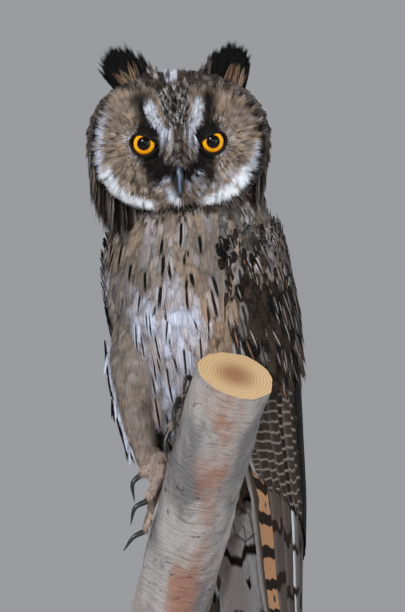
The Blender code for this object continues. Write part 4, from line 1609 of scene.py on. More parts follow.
@dataclass(frozen=True)
class Tuft:
    """The form of a few fine strands from one root.

    Attributes:
        length: Millimetres.
        spread: Millimetres that their tips part by.
        strands: How many.
        thick: Width of a strand at its root in millimetres.
        curl: How far they bend down, in millimetres.
    """

    length: float
    spread: float
    strands: int = 6
    thick: float = 0.34
    curl: float = 0.5

    def make(self, name: str, rng: np.random.Generator) -> bpy.types.Object:
        """One variant as a mesh.

        Args:
            name: Its name.
            rng: Source of chance.

        Returns:
            The hidden object.
        """
        points, uv, faces = [], [], []
        for s in range(self.strands):
            part = (s + 0.5) / self.strands * 2 - 1
            reach = self.length * (0.75 + rng.random() * 0.35)
            root = part * self.spread * 0.45
            tip = part * self.spread * (0.8 + rng.random() * 0.5)
            rise = rng.normal(0, 0.18)
            start = len(points)
            for v, half in ((0, 0.5), (0.55, 0.42), (1, 0)):
                middle = root + (tip - root) * v**1.4
                drop = rise * v - self.curl * v * v
                sides = (-1, 1) if half else (0,)
                for u in sides:
                    points.append((middle + u * half * self.thick, reach * v, drop))
                    uv.append((0.5 + u * 0.1 + part * 0.3, v))
            faces += [(start, start + 1, start + 3, start + 2), (start + 2, start + 3, start + 4)]
        made = mesh_object(name, np.array(points) * MM, faces, {VANE_MAP: np.array(uv)})
        made.hide_render = True
        return made


class FlockTree:
    """The Geometry Nodes tree that sets feathers on guide points and makes them real."""

    def __init__(self, forms: Sequence[bpy.types.Object], material: bpy.types.Material) -> None:
        """Builds the tree.

        Args:
            forms: The feather's variants.
            material: The material that it sets.
        """
        self.tree = bpy.data.node_groups.new("flock", "GeometryNodeTree")
        self.inputs: dict[str, str] = {}
        face = self.tree.interface
        face.new_socket("Geometry", in_out="INPUT", socket_type="NodeSocketGeometry")
        for name, kind in (("Seed", "Int"), ("Size spread", "Float"), ("Patch size", "Float")):
            made = face.new_socket(name, in_out="INPUT", socket_type="NodeSocket" + kind)
            self.inputs[name] = made.identifier
        face.new_socket("Geometry", in_out="OUTPUT", socket_type="NodeSocketGeometry")
        self.start = self.add("NodeGroupInput").outputs
        real = self.add("GeometryNodeRealizeInstances", {}, {0: self._instances(forms)})
        settings = {"data_type": "FLOAT2", "domain": "CORNER"}
        values = {"Geometry": real.outputs[0], "Name": BAKE_MAP, "Value": self._bake_place()}
        stored = self.add("GeometryNodeStoreNamedAttribute", settings, values)
        values = {"Geometry": stored.outputs[0], "Material": material}
        painted = self.add("GeometryNodeSetMaterial", {}, values)
        self.add("NodeGroupOutput", {}, {0: painted.outputs[0]})

    def _instances(self, forms: Sequence[bpy.types.Object]) -> bpy.types.NodeSocket:
        """A variant on every guide point, turned and scaled by the point's own attributes.

        Args:
            forms: The feather's variants.

        Returns:
            The instances.
        """
        seed, spread = self.start["Seed"], self.start["Size spread"]
        variants = self.add("GeometryNodeGeometryToInstance")
        for form in forms:
            info = self.add("GeometryNodeObjectInfo", {}, {"Object": form})
            self.tree.links.new(info.outputs["Geometry"], variants.inputs[0])
        values = {"Seed": seed, 4: 0, 5: len(forms) - 1}
        pick = self.add("FunctionNodeRandomValue", {"data_type": "INT"}, values)
        small = self.add("ShaderNodeMath", {"operation": "SUBTRACT"}, {0: 1.0, 1: spread})
        large = self.add("ShaderNodeMath", {"operation": "ADD"}, {0: 1.0, 1: spread})
        values = {2: small.outputs[0], 3: large.outputs[0], "Seed": seed}
        change = self.add("FunctionNodeRandomValue", {"data_type": "FLOAT"}, values)
        values = {0: self.read("size"), "Scale": change.outputs[1]}
        size = self.add("ShaderNodeVectorMath", {"operation": "SCALE"}, values)
        turn = self.add("FunctionNodeEulerToRotation", {}, {0: self.read("turn")})
        values = {
            "Points": self.start["Geometry"],
            "Instance": variants.outputs[0],
            "Pick Instance": True,
            "Instance Index": pick.outputs[2],
            "Rotation": turn.outputs[0],
            "Scale": size.outputs[0],
        }
        return self.add("GeometryNodeInstanceOnPoints", {}, values).outputs[0]

    def _bake_place(self) -> bpy.types.NodeSocket:
        """A place on the bake map: the feather's own map as a small patch at its root."""
        values = {0: self.read(VANE_MAP), 1: (0.5, 0.5, 0.0)}
        middle = self.add("ShaderNodeVectorMath", {"operation": "SUBTRACT"}, values)
        values = {0: middle.outputs[0], "Scale": self.start["Patch size"]}
        patch = self.add("ShaderNodeVectorMath", {"operation": "SCALE"}, values)
        values = {0: self.read("root"), 1: patch.outputs[0]}
        return self.add("ShaderNodeVectorMath", {"operation": "ADD"}, values).outputs[0]

    def add(
        self,
        kind: str,
        settings: dict[str, object] | None = None,
        values: dict[str | int, object] | None = None,
    ) -> bpy.types.Node:
        """Any node of this tree, with its settings and socket values."""
        return add_node(self.tree, kind, settings, values)

    def read(self, name: str) -> bpy.types.NodeSocket:
        """A named vector attribute."""
        settings, values = {"data_type": "FLOAT_VECTOR"}, {"Name": name}
        return self.add("GeometryNodeInputNamedAttribute", settings, values).outputs["Attribute"]


@dataclass
class Roots:
    """Where feathers grow.

    Attributes:
        points: Rows in metres.
        normals: The skin's normals there.
        uv: Places on the skin's unwrap.
    """

    points: np.ndarray
    normals: np.ndarray
    uv: np.ndarray

    def some(self, chosen: np.ndarray) -> "Roots":
        """Some of the roots."""
        return Roots(self.points[chosen], self.normals[chosen], self.uv[chosen])


@dataclass
class Flock:
    """Many feathers of one form.

    Attributes:
        name: Name of its pieces.
        form: The feather's form.
        roots: Where they grow.
        aims: Where they point.
        lift: Radians that their tips rise by.
        size: Scale of width, length and depth, one row a feather.
        looks: Their colours and markings.
        slot: Not used.
    """

    name: str
    form: Feather | Tuft
    roots: Roots
    aims: np.ndarray
    lift: np.ndarray
    size: np.ndarray
    looks: Looks
    slot: str

    def grow(self, material: bpy.types.Material, seed: int) -> list[bpy.types.Object]:
        """Makes the feathers as joined meshes.

        Args:
            material: Their material.
            seed: Seed of their chance.

        Returns:
            The pieces.
        """
        rng = np.random.default_rng(seed)
        forms = [self.form.make(f"{self.name}_form_{i}", rng) for i in range(FORM_COUNT)]
        triangles = sum(len(p.vertices) - 2 for p in forms[0].data.polygons)
        count = len(self.roots.points)
        groups = max(1, math.ceil(count * triangles / PIECE_TRIANGLES))
        turns = eulers(self.roots.normals, self.aims, self.lift)
        flock = FlockTree(forms, material)
        order = np.argsort(self.roots.points[:, 2], kind="stable")
        made = []
        for g, chosen in enumerate(np.array_split(order, groups)):
            uv = np.column_stack([self.roots.uv[chosen], np.zeros(len(chosen))])
            fields = {"turn": turns[chosen], "size": self.size[chosen], "root": uv}
            fields |= self.looks.fields(chosen)
            piece = mesh_object(f"{self.name}_{g + 1}", self.roots.points[chosen], [], None, fields)
            modifier = piece.modifiers.new("flock", "NODES")
            modifier.node_group = flock.tree
            modifier[flock.inputs["Seed"]] = seed + g
            modifier[flock.inputs["Size spread"]] = SIZE_SPREAD
            modifier[flock.inputs["Patch size"]] = PATCH_SIZE
            apply_modifiers(piece)
            made.append(piece)
        for form in forms:
            bpy.data.objects.remove(form)
        LOG.info("%s: %d feathers in %d pieces", self.name, count, groups)
        return made


def perch_place(height: float, angle: float, out: float) -> tuple[float, float, float]:
    """A place beside the perch.

    Args:
        height: Height of the centre line there, in millimetres.
        angle: Degrees round it: 0 is its left side as seen from the front, 90 its upper side.
        out: Millimetres out from its surface.

    Returns:
        The place in millimetres.
    """
    spots = curve_points(PERCH_LINE, 60)
    i = int(np.argmin(np.abs(spots[1:-1, 2] - height))) + 1
    ahead = unit(spots[i + 1] - spots[i - 1])
    left = unit(np.cross(ahead, (0, 1, 0)))
    left = -left if left[0] > 0 else left
    upper = unit(np.cross(ahead, left))
    upper = -upper if upper[2] < 0 else upper
    turn = math.radians(angle)
    place = spots[i] + (left * math.cos(turn) + upper * math.sin(turn)) * (PERCH_RADIUS + out)
    return tuple(float(v) for v in place)


@dataclass(frozen=True)
class Toe:
    """A toe's centre line from the sole, and its claw's.

    Attributes:
        line: Points in millimetres.
        claw: Points from the toe's end to the claw's tip.
    """

    line: tuple[tuple[float, float, float], ...]
    claw: tuple[tuple[float, float, float], ...]

    @classmethod
    def of(cls, sole: tuple[float, float, float], *rest: tuple[float, float, float]) -> "Toe":
        """A toe from its sole, two points of its own and two of its claw."""
        return cls((sole, rest[0], rest[1]), (rest[1], rest[2], rest[3]))


def foot_toes() -> dict[Side, tuple[Toe, ...]]:
    """The toes of both feet.

    Returns:
        Toes by the foot's side.
    """
    right, left = perch_place(142, 32, 5), perch_place(168, 60, 5)
    at, toe = perch_place, Toe.of
    return {
        Side.RIGHT: (
            toe(right, (-32, -26, 149), (-36, -29, 146), (-40.5, -31, 142), (-40, -31, 131)),
            toe(right, (-30, -31, 136), (-33, -33, 131), (-39, -35, 128), (-42, -36, 118)),
            toe(right, (-31, -27, 122), (-34, -29, 114), (-40, -31, 111), (-46, -32, 103)),
            toe(right, at(138, 66, 3.6), at(134, 100, 3.8), at(130, 118, 5), at(124, 136, 3)),
        ),
        Side.LEFT: (
            toe(left, at(170, 25, 3.6), at(164, 2, 3.8), at(160, -14, 5), at(154, -30, 3)),
            toe(left, at(178, 32, 3.6), at(180, 6, 3.8), at(177, -12, 5), at(171, -28, 3)),
            toe(left, at(179, 44, 3.4), at(187, 28, 3.4), at(190, 14, 4.2), at(186, -2, 2.4)),
            toe(left, at(161, 84, 3.4), at(156, 104, 3.4), at(152, 118, 4.5), at(147, 134, 2.8)),
        ),
    }


class Tract(Enum):
    """Parts of the coat that differ in form."""

    HEAD = 0
    BODY = 1
    LEG = 2
    FOOT = 3


TRACT_NODES = {
    Tract.HEAD: ("head",),
    Tract.BODY: ("neck", "torso"),
    Tract.LEG: ("leg_left", "leg_right"),
    Tract.FOOT: ("foot_left", "foot_right"),
}

# Depth of the coat over the skin, the remesh's cell, and how far the flesh swells before it
COAT_DEPTH = {Tract.HEAD: 2.0, Tract.BODY: 3.5, Tract.LEG: 2.2, Tract.FOOT: 1.2}
SKIN_VOXEL = 1.3
SKIN_GROWTH = 0.5


def wing_core(side: Side, rings: int = 12, sides: int = 48) -> bpy.types.Object:
    """The flesh of a folded wing, as in the solids.

    Args:
        side: The wing's side.
        rings: Rings from the middle to the edge.
        sides: Points in a ring.

    Returns:
        The closed object.
    """
    rows = []
    turn = ring_angles(sides)
    upper = [(i / rings, True) for i in range(1, rings + 1)]
    lower = [(i / rings, False) for i in range(rings - 1, 0, -1)]
    power = 2 / WING_POWER
    for share, top in upper + lower:
        across = np.sign(np.cos(turn)) * np.abs(np.cos(turn)) ** power * share
        along = np.sign(np.sin(turn)) * np.abs(np.sin(turn)) ** power * share
        angle = WING_MIDDLE[0] + WING_REACH[0] * across
        height = WING_MIDDLE[1] + WING_REACH[1] * along
        lift = core_height(angle, height) if top else np.full(sides, -5.0 * (1 - share**4))
        rows.append(shell_points(np.radians(angle), height, lift, side))
    ends = [rows[0].mean(axis=0), rows[-1].mean(axis=0)]
    points = BODY.out(np.vstack([*rows, ends]))
    made = mesh_object("core", points, capped_faces(len(rows), sides))
    faces_outward(made)
    return made


class Skin:
    """One skin under the coat, with places to root feathers on it."""

    def __init__(self, nodes: dict[str, bpy.types.Object]) -> None:
        """Makes the skin from the flesh of the solids.

        Args:
            nodes: The solids by name.
        """
        cores = [wing_core(side) for side in Side]
        self.trees = {}
        for tract, names in TRACT_NODES.items():
            form = bmesh.new()
            for name in names:
                form.from_mesh(nodes[name].data)
            if tract is Tract.BODY:
                for core in cores:
                    form.from_mesh(core.data)
            self.trees[tract] = bvhtree.BVHTree.FromBMesh(form)
            form.free()
        flesh = [nodes[name] for names in TRACT_NODES.values() for name in names]
        self.piece = self._surface(flesh, cores)
        for core in cores:
            bpy.data.objects.remove(core)
        self._sink()
        self._unwrap()
        self._read()

    def _surface(self, flesh: list[bpy.types.Object], cores: list[bpy.types.Object]) -> bpy.types.Object:
        """Fuses the flesh into one smooth surface.

        Args:
            flesh: Solids to fuse.
            cores: More closed objects to fuse.

        Returns:
            The skin's object.
        """
        whole = bmesh.new()
        for thing in flesh + cores:
            part = bmesh.new()
            part.from_mesh(thing.data)
            bmesh.ops.remove_doubles(part, verts=part.verts, dist=1e-6)
            bmesh.ops.recalc_face_normals(part, faces=part.faces)
            part.normal_update()
            for vertex in part.verts:
                vertex.co += vertex.normal * SKIN_GROWTH * MM
            mesh = bpy.data.meshes.new("part")
            part.to_mesh(mesh)
            part.free()
            whole.from_mesh(mesh)
            bpy.data.meshes.remove(mesh)
        mesh = bpy.data.meshes.new("skin")
        whole.to_mesh(mesh)
        whole.free()
        made = bpy.data.objects.new("skin", mesh)
        bpy.context.scene.collection.objects.link(made)
        remesh = made.modifiers.new("remesh", "REMESH")
        remesh.mode = "VOXEL"
        remesh.voxel_size = SKIN_VOXEL * MM
        smoother = made.modifiers.new("smooth", "SMOOTH")
        smoother.factor = 0.6
        smoother.iterations = 8
        apply_modifiers(made)
        self._keep_largest(made)
        return made

    @staticmethod
    def _keep_largest(thing: bpy.types.Object) -> None:
        """Drops every surface but the largest.

        Args:
            thing: The object.
        """
        form = bmesh.new()
        form.from_mesh(thing.data)
        left = set(form.verts)
        groups = []
        while left:
            edge = [left.pop()]
            group = set(edge)
            while edge:
                vertex = edge.pop()
                for link in vertex.link_edges:
                    other = link.other_vert(vertex)
                    if other in left:
                        left.discard(other)
                        group.add(other)
                        edge.append(other)
            groups.append(group)
        groups.sort(key=len)
        for group in groups[:-1]:
            bmesh.ops.delete(form, geom=list(group), context="VERTS")
        bmesh.ops.recalc_face_normals(form, faces=form.faces)
        form.to_mesh(thing.data)
        form.free()

    def tract_of(self, points: np.ndarray) -> np.ndarray:
        """Which tract each point is in.

        Args:
            points: Rows in metres.

        Returns:
            The tract's number for each.
        """
        away = np.empty((len(points), len(self.trees)))
        for tract, tree in self.trees.items():
            away[:, tract.value] = [tree.find_nearest(p)[3] for p in points.tolist()]
        return np.argmin(away, axis=1)

    def _sink(self) -> None:
        """Moves the skin in by the depth of the coat."""
        mesh = self.piece.data
        points = read_rows(mesh.vertices, "co", 3)
        normals = read_rows(mesh.vertex_normals, "vector", 3)
        table = np.array([COAT_DEPTH[tract] for tract in Tract])
        depth = table[self.tract_of(points)] + SKIN_GROWTH
        spot = HEAD.into(points)
        for x in (-EYE_SPACING / 2, EYE_SPACING / 2):
            eye = np.linalg.norm(spot - (x, -EYE_DEPTH, 0), axis=1)
            depth = np.minimum(depth, 0.3 + 1.9 * smooth(eye, 9.5, 15.0) + 9 * smooth(eye, 15.0, 16.0))
        bill = np.linalg.norm(spot - (0, -28, -14), axis=1)
        depth = np.minimum(depth, 0.9 + 9 * smooth(bill, 11.0, 16.0))
        points -= normals * depth[:, None] * MM
        mesh.vertices.foreach_set("co", points.ravel())
        mesh.update()

    def _unwrap(self) -> None:
        """Unwraps the skin by its own shape."""
        mesh = self.piece.data
        mesh.uv_layers.new(name=BAKE_MAP)
        bpy.context.view_layer.objects.active = self.piece
        self.piece.select_set(True)
        bpy.ops.object.mode_set(mode="EDIT")
        bpy.ops.mesh.select_all(action="SELECT")
        bpy.ops.uv.smart_project(angle_limit=math.radians(66), island_margin=0.002)
        bpy.ops.object.mode_set(mode="OBJECT")
        self.piece.select_set(False)

    def _read(self) -> None:
        """Reads the triangles, their areas and their maps."""
        mesh = self.piece.data
        mesh.calc_loop_triangles()
        triangles = mesh.loop_triangles
        corners = read_rows(triangles, "vertices", 3, np.int32)
        loops = read_rows(triangles, "loops", 3, np.int32)
        self.corners = read_rows(mesh.vertices, "co", 3)[corners]
        self.normals = read_rows(mesh.vertex_normals, "vector", 3)[corners]
        self.maps = read_rows(mesh.uv_layers[BAKE_MAP].data, "uv", 2)[loops]
        self.centres = self.corners.mean(axis=1)
        sides = self.corners[:, 1:] - self.corners[:, :1]
        self.areas = np.linalg.norm(np.cross(sides[:, 0], sides[:, 1]), axis=1) / 2
        self.tracts = self.tract_of(self.centres)
        LOG.info("skin: %d triangles", len(triangles))

    def scatter(self, spacing: np.ndarray, seed: int) -> Roots:
        """Places spread evenly over parts of the skin.

        Args:
            spacing: Millimetres between feathers on each triangle, or 0 for none.
            seed: Seed of the chance.

        Returns:
            The roots.
        """
        rng = np.random.default_rng(seed)
        weight = np.where(spacing > 0, self.areas / np.maximum(spacing * MM, 1e-9) ** 2, 0)
        total = int(weight.sum() * SCATTER_TRIES)
        pick = rng.choice(len(weight), total, p=weight / weight.sum())
        a, b = rng.random(total), rng.random(total)
        fold = a + b > 1
        a, b = np.where(fold, 1 - a, a), np.where(fold, 1 - b, b)
        share = np.column_stack([1 - a - b, a, b])[:, :, None]
        points = (self.corners[pick] * share).sum(axis=1)
        tree = kdtree.KDTree(total)
        for i, point in enumerate(points.tolist()):
            tree.insert(point, i)
        tree.balance()
        kept = np.ones(total, bool)
        reach = spacing[pick] * SCATTER_REACH * MM
        for i, point in enumerate(points.tolist()):
            if kept[i]:
                for _, other, _ in tree.find_range(point, reach[i]):
                    if other > i:
                        kept[other] = False
        normals = unit((self.normals[pick] * share).sum(axis=1))
        return Roots(points[kept], normals[kept], (self.maps[pick] * share).sum(axis=1)[kept])

    def beside(self, points: np.ndarray, normals: np.ndarray) -> Roots:
        """Roots at given places, with the map of the skin nearest to them.

        Args:
            points: Rows in metres.
            normals: Directions that the feathers lie under.

        Returns:
            The roots.
        """
        tree = kdtree.KDTree(len(self.centres))
        for i, point in enumerate(self.centres.tolist()):
            tree.insert(point, i)
        tree.balance()
        nearest = [tree.find(point)[1] for point in points.tolist()]
        return Roots(points, normals, self.maps[nearest].mean(axis=1))


@dataclass(frozen=True)
class BodyLayer:
    """One layer of the body's feathers.

    Attributes:
        name: Name of its pieces.
        spacing: Millimetres between feathers.
        form: The feather's form.
        lift: Radians that the tips rise by.
        seed: Added to the scene's seed.
        dark: How often its feathers are dark: 0 is never, and over 3 is always.
    """

    name: str
    spacing: float
    form: Feather | Tuft
    lift: float
    seed: int
    dark: float = 0.0


UNDER = BodyLayer("under", 3.2, Feather(14.0, 7.0, barbs=26, columns=2, thick=0.4), 0.18, 15)
COVER = BodyLayer("cover", 1.5, Feather(23.0, 8.6, barbs=40, rows=6, curl=1.8, thick=0.42), 0.17, 15)
FLANK = BodyLayer("flank", 2.1, Tuft(10.5, 2.6, 10, 0.3, 1.0), 0.20, 15)
VEIL = BodyLayer("veil", 2.7, Tuft(10.0, 2.2, 9, 0.22, 1.0), 0.22, 14, 0.3)
STREAKS = BodyLayer("streaks", 0.8, Tuft(10.0, 1.1, 7, 0.26, 0.3), 0.21, 17, 9.0)


class Coat:
    """The feathers that grow on the skin."""

    def __init__(self, skin: Skin, material: bpy.types.Material) -> None:
        """Keeps the skin and the feathers' material.

        Args:
            skin: The skin.
            material: The feathers' material.
        """
        self.skin = skin
        self.material = material
        self.rng = np.random.default_rng(SEED)
        self.pieces: list[bpy.types.Object] = []
        self.on_head = skin.tracts == Tract.HEAD.value
        self.head_spots = HEAD.into(skin.centres)

    def build(self) -> list[bpy.types.Object]:
        """Grows every part of the coat in order and paints the skin under it.

        Returns:
            The skin and the feathers' pieces.
        """
        self.head()
        for side in Side:
            self.ear_tuft(side)
        self.body()
        for side in Side:
            self.coverts(side)
        self.wing_edge()
        self.legs()
        self.paint_skin(CoatedSkinFinish().material())
        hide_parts(*(name for names in TRACT_NODES.values() for name in names))
        return [self.skin.piece, *self.pieces]

    def _grow(
        self,
        name: str,
        form: Feather | Tuft,
        roots: Roots,
        aims: np.ndarray,
        lift: np.ndarray | float,
        size: np.ndarray | float,
        looks: Looks,
        slot: str,
    ) -> None:
        """Grows one flock, with chance in where its feathers point.

        Args:
            name: Name of its pieces.
            form: The feather's form.
            roots: Where it grows.
            aims: Where it points.
            lift: Radians that the tips rise by.
            size: Scale of each feather.
            looks: Colours and markings.
            slot: The record's material slot.
        """
        count = len(roots.points)
        aims = unit(aims) + self.rng.normal(0, AIM_SPREAD, (count, 3))
        lift = np.broadcast_to(lift, count) + self.rng.normal(0, LIFT_SPREAD, count)
        sizes = np.repeat(np.broadcast_to(size, count)[:, None], 3, axis=1)
        flock = Flock(name, form, roots, aims, lift, sizes, looks, slot)
        self.pieces += flock.grow(self.material, SEED + len(self.pieces))

    def _grow_on_face(
        self,
        name: str,
        form: Feather | Tuft,
        roots: Roots,
        aims: np.ndarray,
        ahead: np.ndarray | float,
        lift: float,
        size: np.ndarray | float = 1.0,
    ) -> None:
        """Grows one flock of the head, with the markings of where its feathers show."""
        looks = head_looks(roots.points + aims * ahead * MM, self.rng)
        self._grow(name, form, roots, aims, lift, size, looks, "face")

    def _head_roots(self, where: np.ndarray, spacing: float, seed: int) -> Roots:
        """Roots over part of the head."""
        return self.skin.scatter(np.where(self.on_head & where, spacing, 0), SEED + seed)

    @staticmethod
    def face_aims(points: np.ndarray) -> np.ndarray:
        """Where the feathers of the head point.

        Args:
            points: Rows in metres.

        Returns:
            Directions in the world.
        """
        x, y, z = HEAD.into(points).T
        level, full = np.zeros(len(x)), np.ones(len(x))
        side = np.where(x > 0, 1.0, -1.0)
        aims = unit(np.column_stack([x - side * EYE_SPACING / 2, level, z]))
        half = np.interp(z, (0, 34), (7.0, 17.0))
        wedge = (1 - smooth(np.abs(x), half - 1, half + 5)) * smooth(z, 1, 6)
        aims = blended(aims, unit(np.column_stack([x * 0.025, level, full])), wedge)
        nose = unit(np.column_stack([x * 0.05, full * -0.3, -full]))
        aims = blended(aims, nose, (1 - smooth(np.abs(x), 6, 9)) * (1 - smooth(z, 0, 4)))
        down = unit(np.column_stack([x * 0.09, level, -full]))
        aims = blended(aims, down, (1 - smooth(np.abs(x), 9, 15)) * smooth(-z, 14, 20))
        reach, _ = disc_share(x, z)
        aims = blended(aims, unit(np.column_stack([x, level, z])), smooth(reach, 0.85, 0.98))
        behind = unit(np.column_stack([x * 0.004, full, np.where(z > 20, -0.05, -0.75)]))
        share = smooth(reach, 1.02, 1.12) * smooth(y, -24, -12) + smooth(y, -12, -4)
        return HEAD.turned(blended(aims, behind, share))

    def head(self) -> None:
        """Grows the face, the rim, the bristles and the rest of the head."""
        x, y, z = self.head_spots.T
        reach, _ = disc_share(x, z)
        socket = (eye_distance(x, z) < 9.0) & (y > -24)
        front = (y < -8) & (reach < 1.02)
        roots = self._head_roots(front & ~socket, 0.92, 1)
        size = self._face_size(roots.points)
        aims, ahead = self.face_aims(roots.points), (size * 4.8)[:, None]
        self._grow_on_face("face", Tuft(7.0, 1.3, 8, 0.2, 0.5), roots, aims, ahead, 0.14, size)
        roots = self._head_roots((y < -5) & (reach > 0.92) & (reach < 1.06), 1.4, 2)
        aims = self.face_aims(roots.points)
        self._grow_on_face("rim", Tuft(5.6, 1.6, 8, 0.28, 0.6), roots, aims, 3.6, 0.30)
        roots = self._head_roots(~front, 2.0, 3)
        aims = self.face_aims(roots.points)
        form = Feather(9.5, 4.0, barbs=20, rows=3, columns=2, curl=1.0, cup=0.5, thick=0.32)
        self._grow_on_face("crown", form, roots, aims, 5.0, 0.20)
        self._face_lines(self._head_roots(front & ~socket & (reach < 0.93), 1.5, 6))
        self._nose()
        self._bill_bristles()
        self._whiskers()
        self._ruff()
        for side in Side:
            self._lid_feathers(side)

    @staticmethod
    def _face_size(points: np.ndarray) -> np.ndarray:
        """How large the face's feathers are: least round the eyes, and short on the forehead.

        Args:
            points: Where they grow, as rows in metres.

        Returns:
            Their scales.
        """
        x, _, z = HEAD.into(points).T
        forehead = (1 - smooth(np.abs(x + z * 0.07), 6, 10)) * smooth(z, 3, 8)
        size = np.interp(eye_distance(x, z), (9, 13, 22, 30), (0.35, 0.56, 0.86, 1.0))
        return size * (1 - 0.45 * forehead)

    def _face_lines(self, roots: Roots) -> None:
        """Grows the sparse dark and pale hairs that line the disc.

        Args:
            roots: Where they grow.
        """
        aims = self.face_aims(roots.points)
        looks = head_looks(roots.points + aims * 4.8 * MM, self.rng)
        draw = self.rng.random(len(roots.points))
        plain = 1 - smooth(np.abs(looks.ground[:, 0] - FAWN[0]), 0.12, 0.2)
        looks.lay(plain * (draw < 0.72), ground=UMBER)
        looks.lay(plain * (draw > 0.72), ground=ASH)
        form, size = Tuft(7.5, 1.6, 4, 0.17, 0.4), self._face_size(roots.points)
        self._grow("face_lines", form, roots, aims, 0.20, size, looks, "face")

    def _nose(self) -> None:
        """Grows the bristles that hang over the top of the bill."""
        x, y, z = self.head_spots.T
        roots = self._head_roots((np.abs(x) < 7.5) & (z > -4) & (z < 9) & (y < -20), 1.0, 4)
        bx = HEAD.into(roots.points)[:, 0]
        aims = HEAD.turned(np.column_stack([bx * 0.04, np.full(len(bx), -0.55), np.full(len(bx), -1.0)]))
        self._grow_on_face("nose", Tuft(10.5, 1.3, 6, 0.26, 1.4), roots, aims, 7, 0.42)

    def _bill_bristles(self, count: int = 640) -> None:
        """Grows the stiff bristles that lie along the upper bill.

        Args:
            count: How many.
        """
        line = curve_points(BILL_LINE, 40)
        turn = self.rng.uniform(-1.8, 1.8, count)
        pick = (self.rng.random(count) * np.interp(np.abs(turn), (0.3, 1.0), (18, 22))).astype(int)
        ahead = unit(np.gradient(line, axis=0))[pick]
        over = np.column_stack([0 * turn, ahead[:, 2], -ahead[:, 1]])
        out = np.sin(turn)[:, None] * np.array([1.0, 0, 0]) + np.cos(turn)[:, None] * over
        points = line[pick] + out * (BILL_WIDTHS[1] + 0.1)
        roots = self.skin.beside(HEAD.out(points), HEAD.turned(out))
        spread = np.column_stack([np.sin(turn) * 0.18, 0 * turn, np.full(count, -0.2)])
        size = np.where(np.abs(turn) > 0.8, 1.15, 0.85)
        form, aims = Tuft(6.6, 1.2, 6, 0.22, 0.3), HEAD.turned(ahead + spread)
        self._grow_on_face("bristles", form, roots, aims, 5, 0.14, size)

    def _whiskers(self) -> None:
        """Grows the bristles that stand beside the bill."""
        x, y, z = self.head_spots.T
        roots = self._head_roots((np.abs(x) < 14) & (z > -34) & (z < -12) & (y < -12), 1.3, 5)
        bx = HEAD.into(roots.points)[:, 0]
        aims = HEAD.turned(np.column_stack([bx * 0.16, np.full(len(bx), -0.35), np.full(len(bx), -0.8)]))
        self._grow_on_face("whiskers", Tuft(7.5, 1.4, 6, 0.24, 1.0), roots, aims, 4.5, 0.28)

    def _ruff(self) -> None:
        """Grows the long feathers that hang from the sides of the head over the neck."""
        x, y, z = self.head_spots.T
        roots = self._head_roots((np.abs(x) > 26) & (z > -34) & (z < 8) & (y > -9), 2.2, 24)
        x, y, z = HEAD.into(roots.points).T
        size = np.interp(z, (-30, 0), (1.15, 0.85)) + np.where(x < 0, 0.25, 0)
        aims = np.tile((0.0, 0.0, -1.0), (len(z), 1))
        lift = np.arcsin(np.clip(-roots.normals[:, 2], 0, 0.85)) + 0.06
        draw, other = self.rng.random((2, len(z)))
        looks = Looks.plain(len(z), blended(GREY, FAWN, draw), UMBER, self.rng)
        looks.lay(np.ones(len(z)), ink=(0.9, 0.0, 0.4), band=(3.0, 0.2))
        looks.lay(other < 0.22 + 0.3 * (y < -3), ground=UMBER)
        looks.lay(other > 0.92, ground=ASH)
        looks.varied(0.12, self.rng)
        form = Feather(18.0, 5.2, barbs=22, rows=5, columns=2, curl=1.6, thick=0.36)
        self._grow("ruff", form, roots, aims, lift, size, looks, "breast")

    def _lid_feathers(self, side: Side) -> None:
        """Grows the fine feathers on the outer part of an eye's lids.

        Args:
            side: The eye's side.
        """
        eye = Eye(side)
        off, turn = np.meshgrid(np.linspace(0.22, 1.0, 7), ring_angles(80))
        off, turn = off.ravel(), turn.ravel() + self.rng.normal(0, 0.05, off.size)
        start = eye.lid_start(turn)
        angle = start + (LID_EDGE - start) * off
        out = off_axis(angle, turn)
        away = np.column_stack([np.cos(angle) * np.cos(turn), np.sin(angle), np.cos(angle) * np.sin(turn)])
        points = eye.pose.out(out * (EYE_RADIUS + 0.4 + CORNEA_BULGE * 0.25 + LID_THICKNESS))
        roots, aims = self.skin.beside(points, eye.pose.turned(out)), eye.pose.turned(away)
        name = f"lid_feathers_{side.word}"
        self._grow_on_face(name, Tuft(3.0, 0.7, 6, 0.2, 0.2), roots, aims, 2, 0.10, 0.9)

    def ear_tuft(self, side: Side, count: int = 260) -> None:
        """Grows an ear tuft: a leaning block of soft feathers in layers, from its outer edge in.

        Args:
            side: Its side.
            count: How many feathers it has.
        """
        rng, left = self.rng, side is Side.LEFT
        share = np.sort(rng.uniform(0, 1, count))
        layer = rng.uniform(-1, 1, count)
        first, last = np.array(TUFT_ROOTS[side])
        low = first + (last - first) * share[:, None]
        high = smooth_rows(TUFT_TIPS[side], share)
        base = np.column_stack([low[:, 0], 2 + layer * 4.5, low[:, 1] - 5])
        tips = np.column_stack([high[:, 0], 3 + layer * 7.0, high[:, 1] + rng.normal(0, 0.8, count)])
        spans = tips - base
        front = np.where(layer < 0.35, -1.0, 1.0)
        normals = np.column_stack([(0.5 - share) * side * 0.6, front, 0 * share])
        looks = Looks.plain(count, BLACK, UMBER, rng)
        looks.lay(np.ones(count), ink=(0.0, 0.0, 0.3))
        start, end = (0.1, 0.5) if left else (0.35, 0.75)
        patch = (layer < -0.55) & (share > start) & (share < end)
        patch &= rng.random(count) < 0.75
        base[patch, 1] -= 2.0
        roots = self.skin.beside(HEAD.out(base), HEAD.turned(normals))
        tan = blended(UMBER, blended(WARM, BUFF, rng.random(count)), rng.random(count) ** 0.4)
        looks.lay(patch, ground=tan, mark=BLACK, ink=(0.8, 0.0, 0.5), band=(2.0, 0.3))
        inner = smooth(share, 0.80, 0.90)
        pale = blended(BROWN, ASH, rng.random(count))
        looks.lay(inner, ground=pale, mark=BLACK, ink=(0.0, 0.0, 0.5))
        looks.lay(inner * (rng.random(count) < 0.4), ground=BLACK)
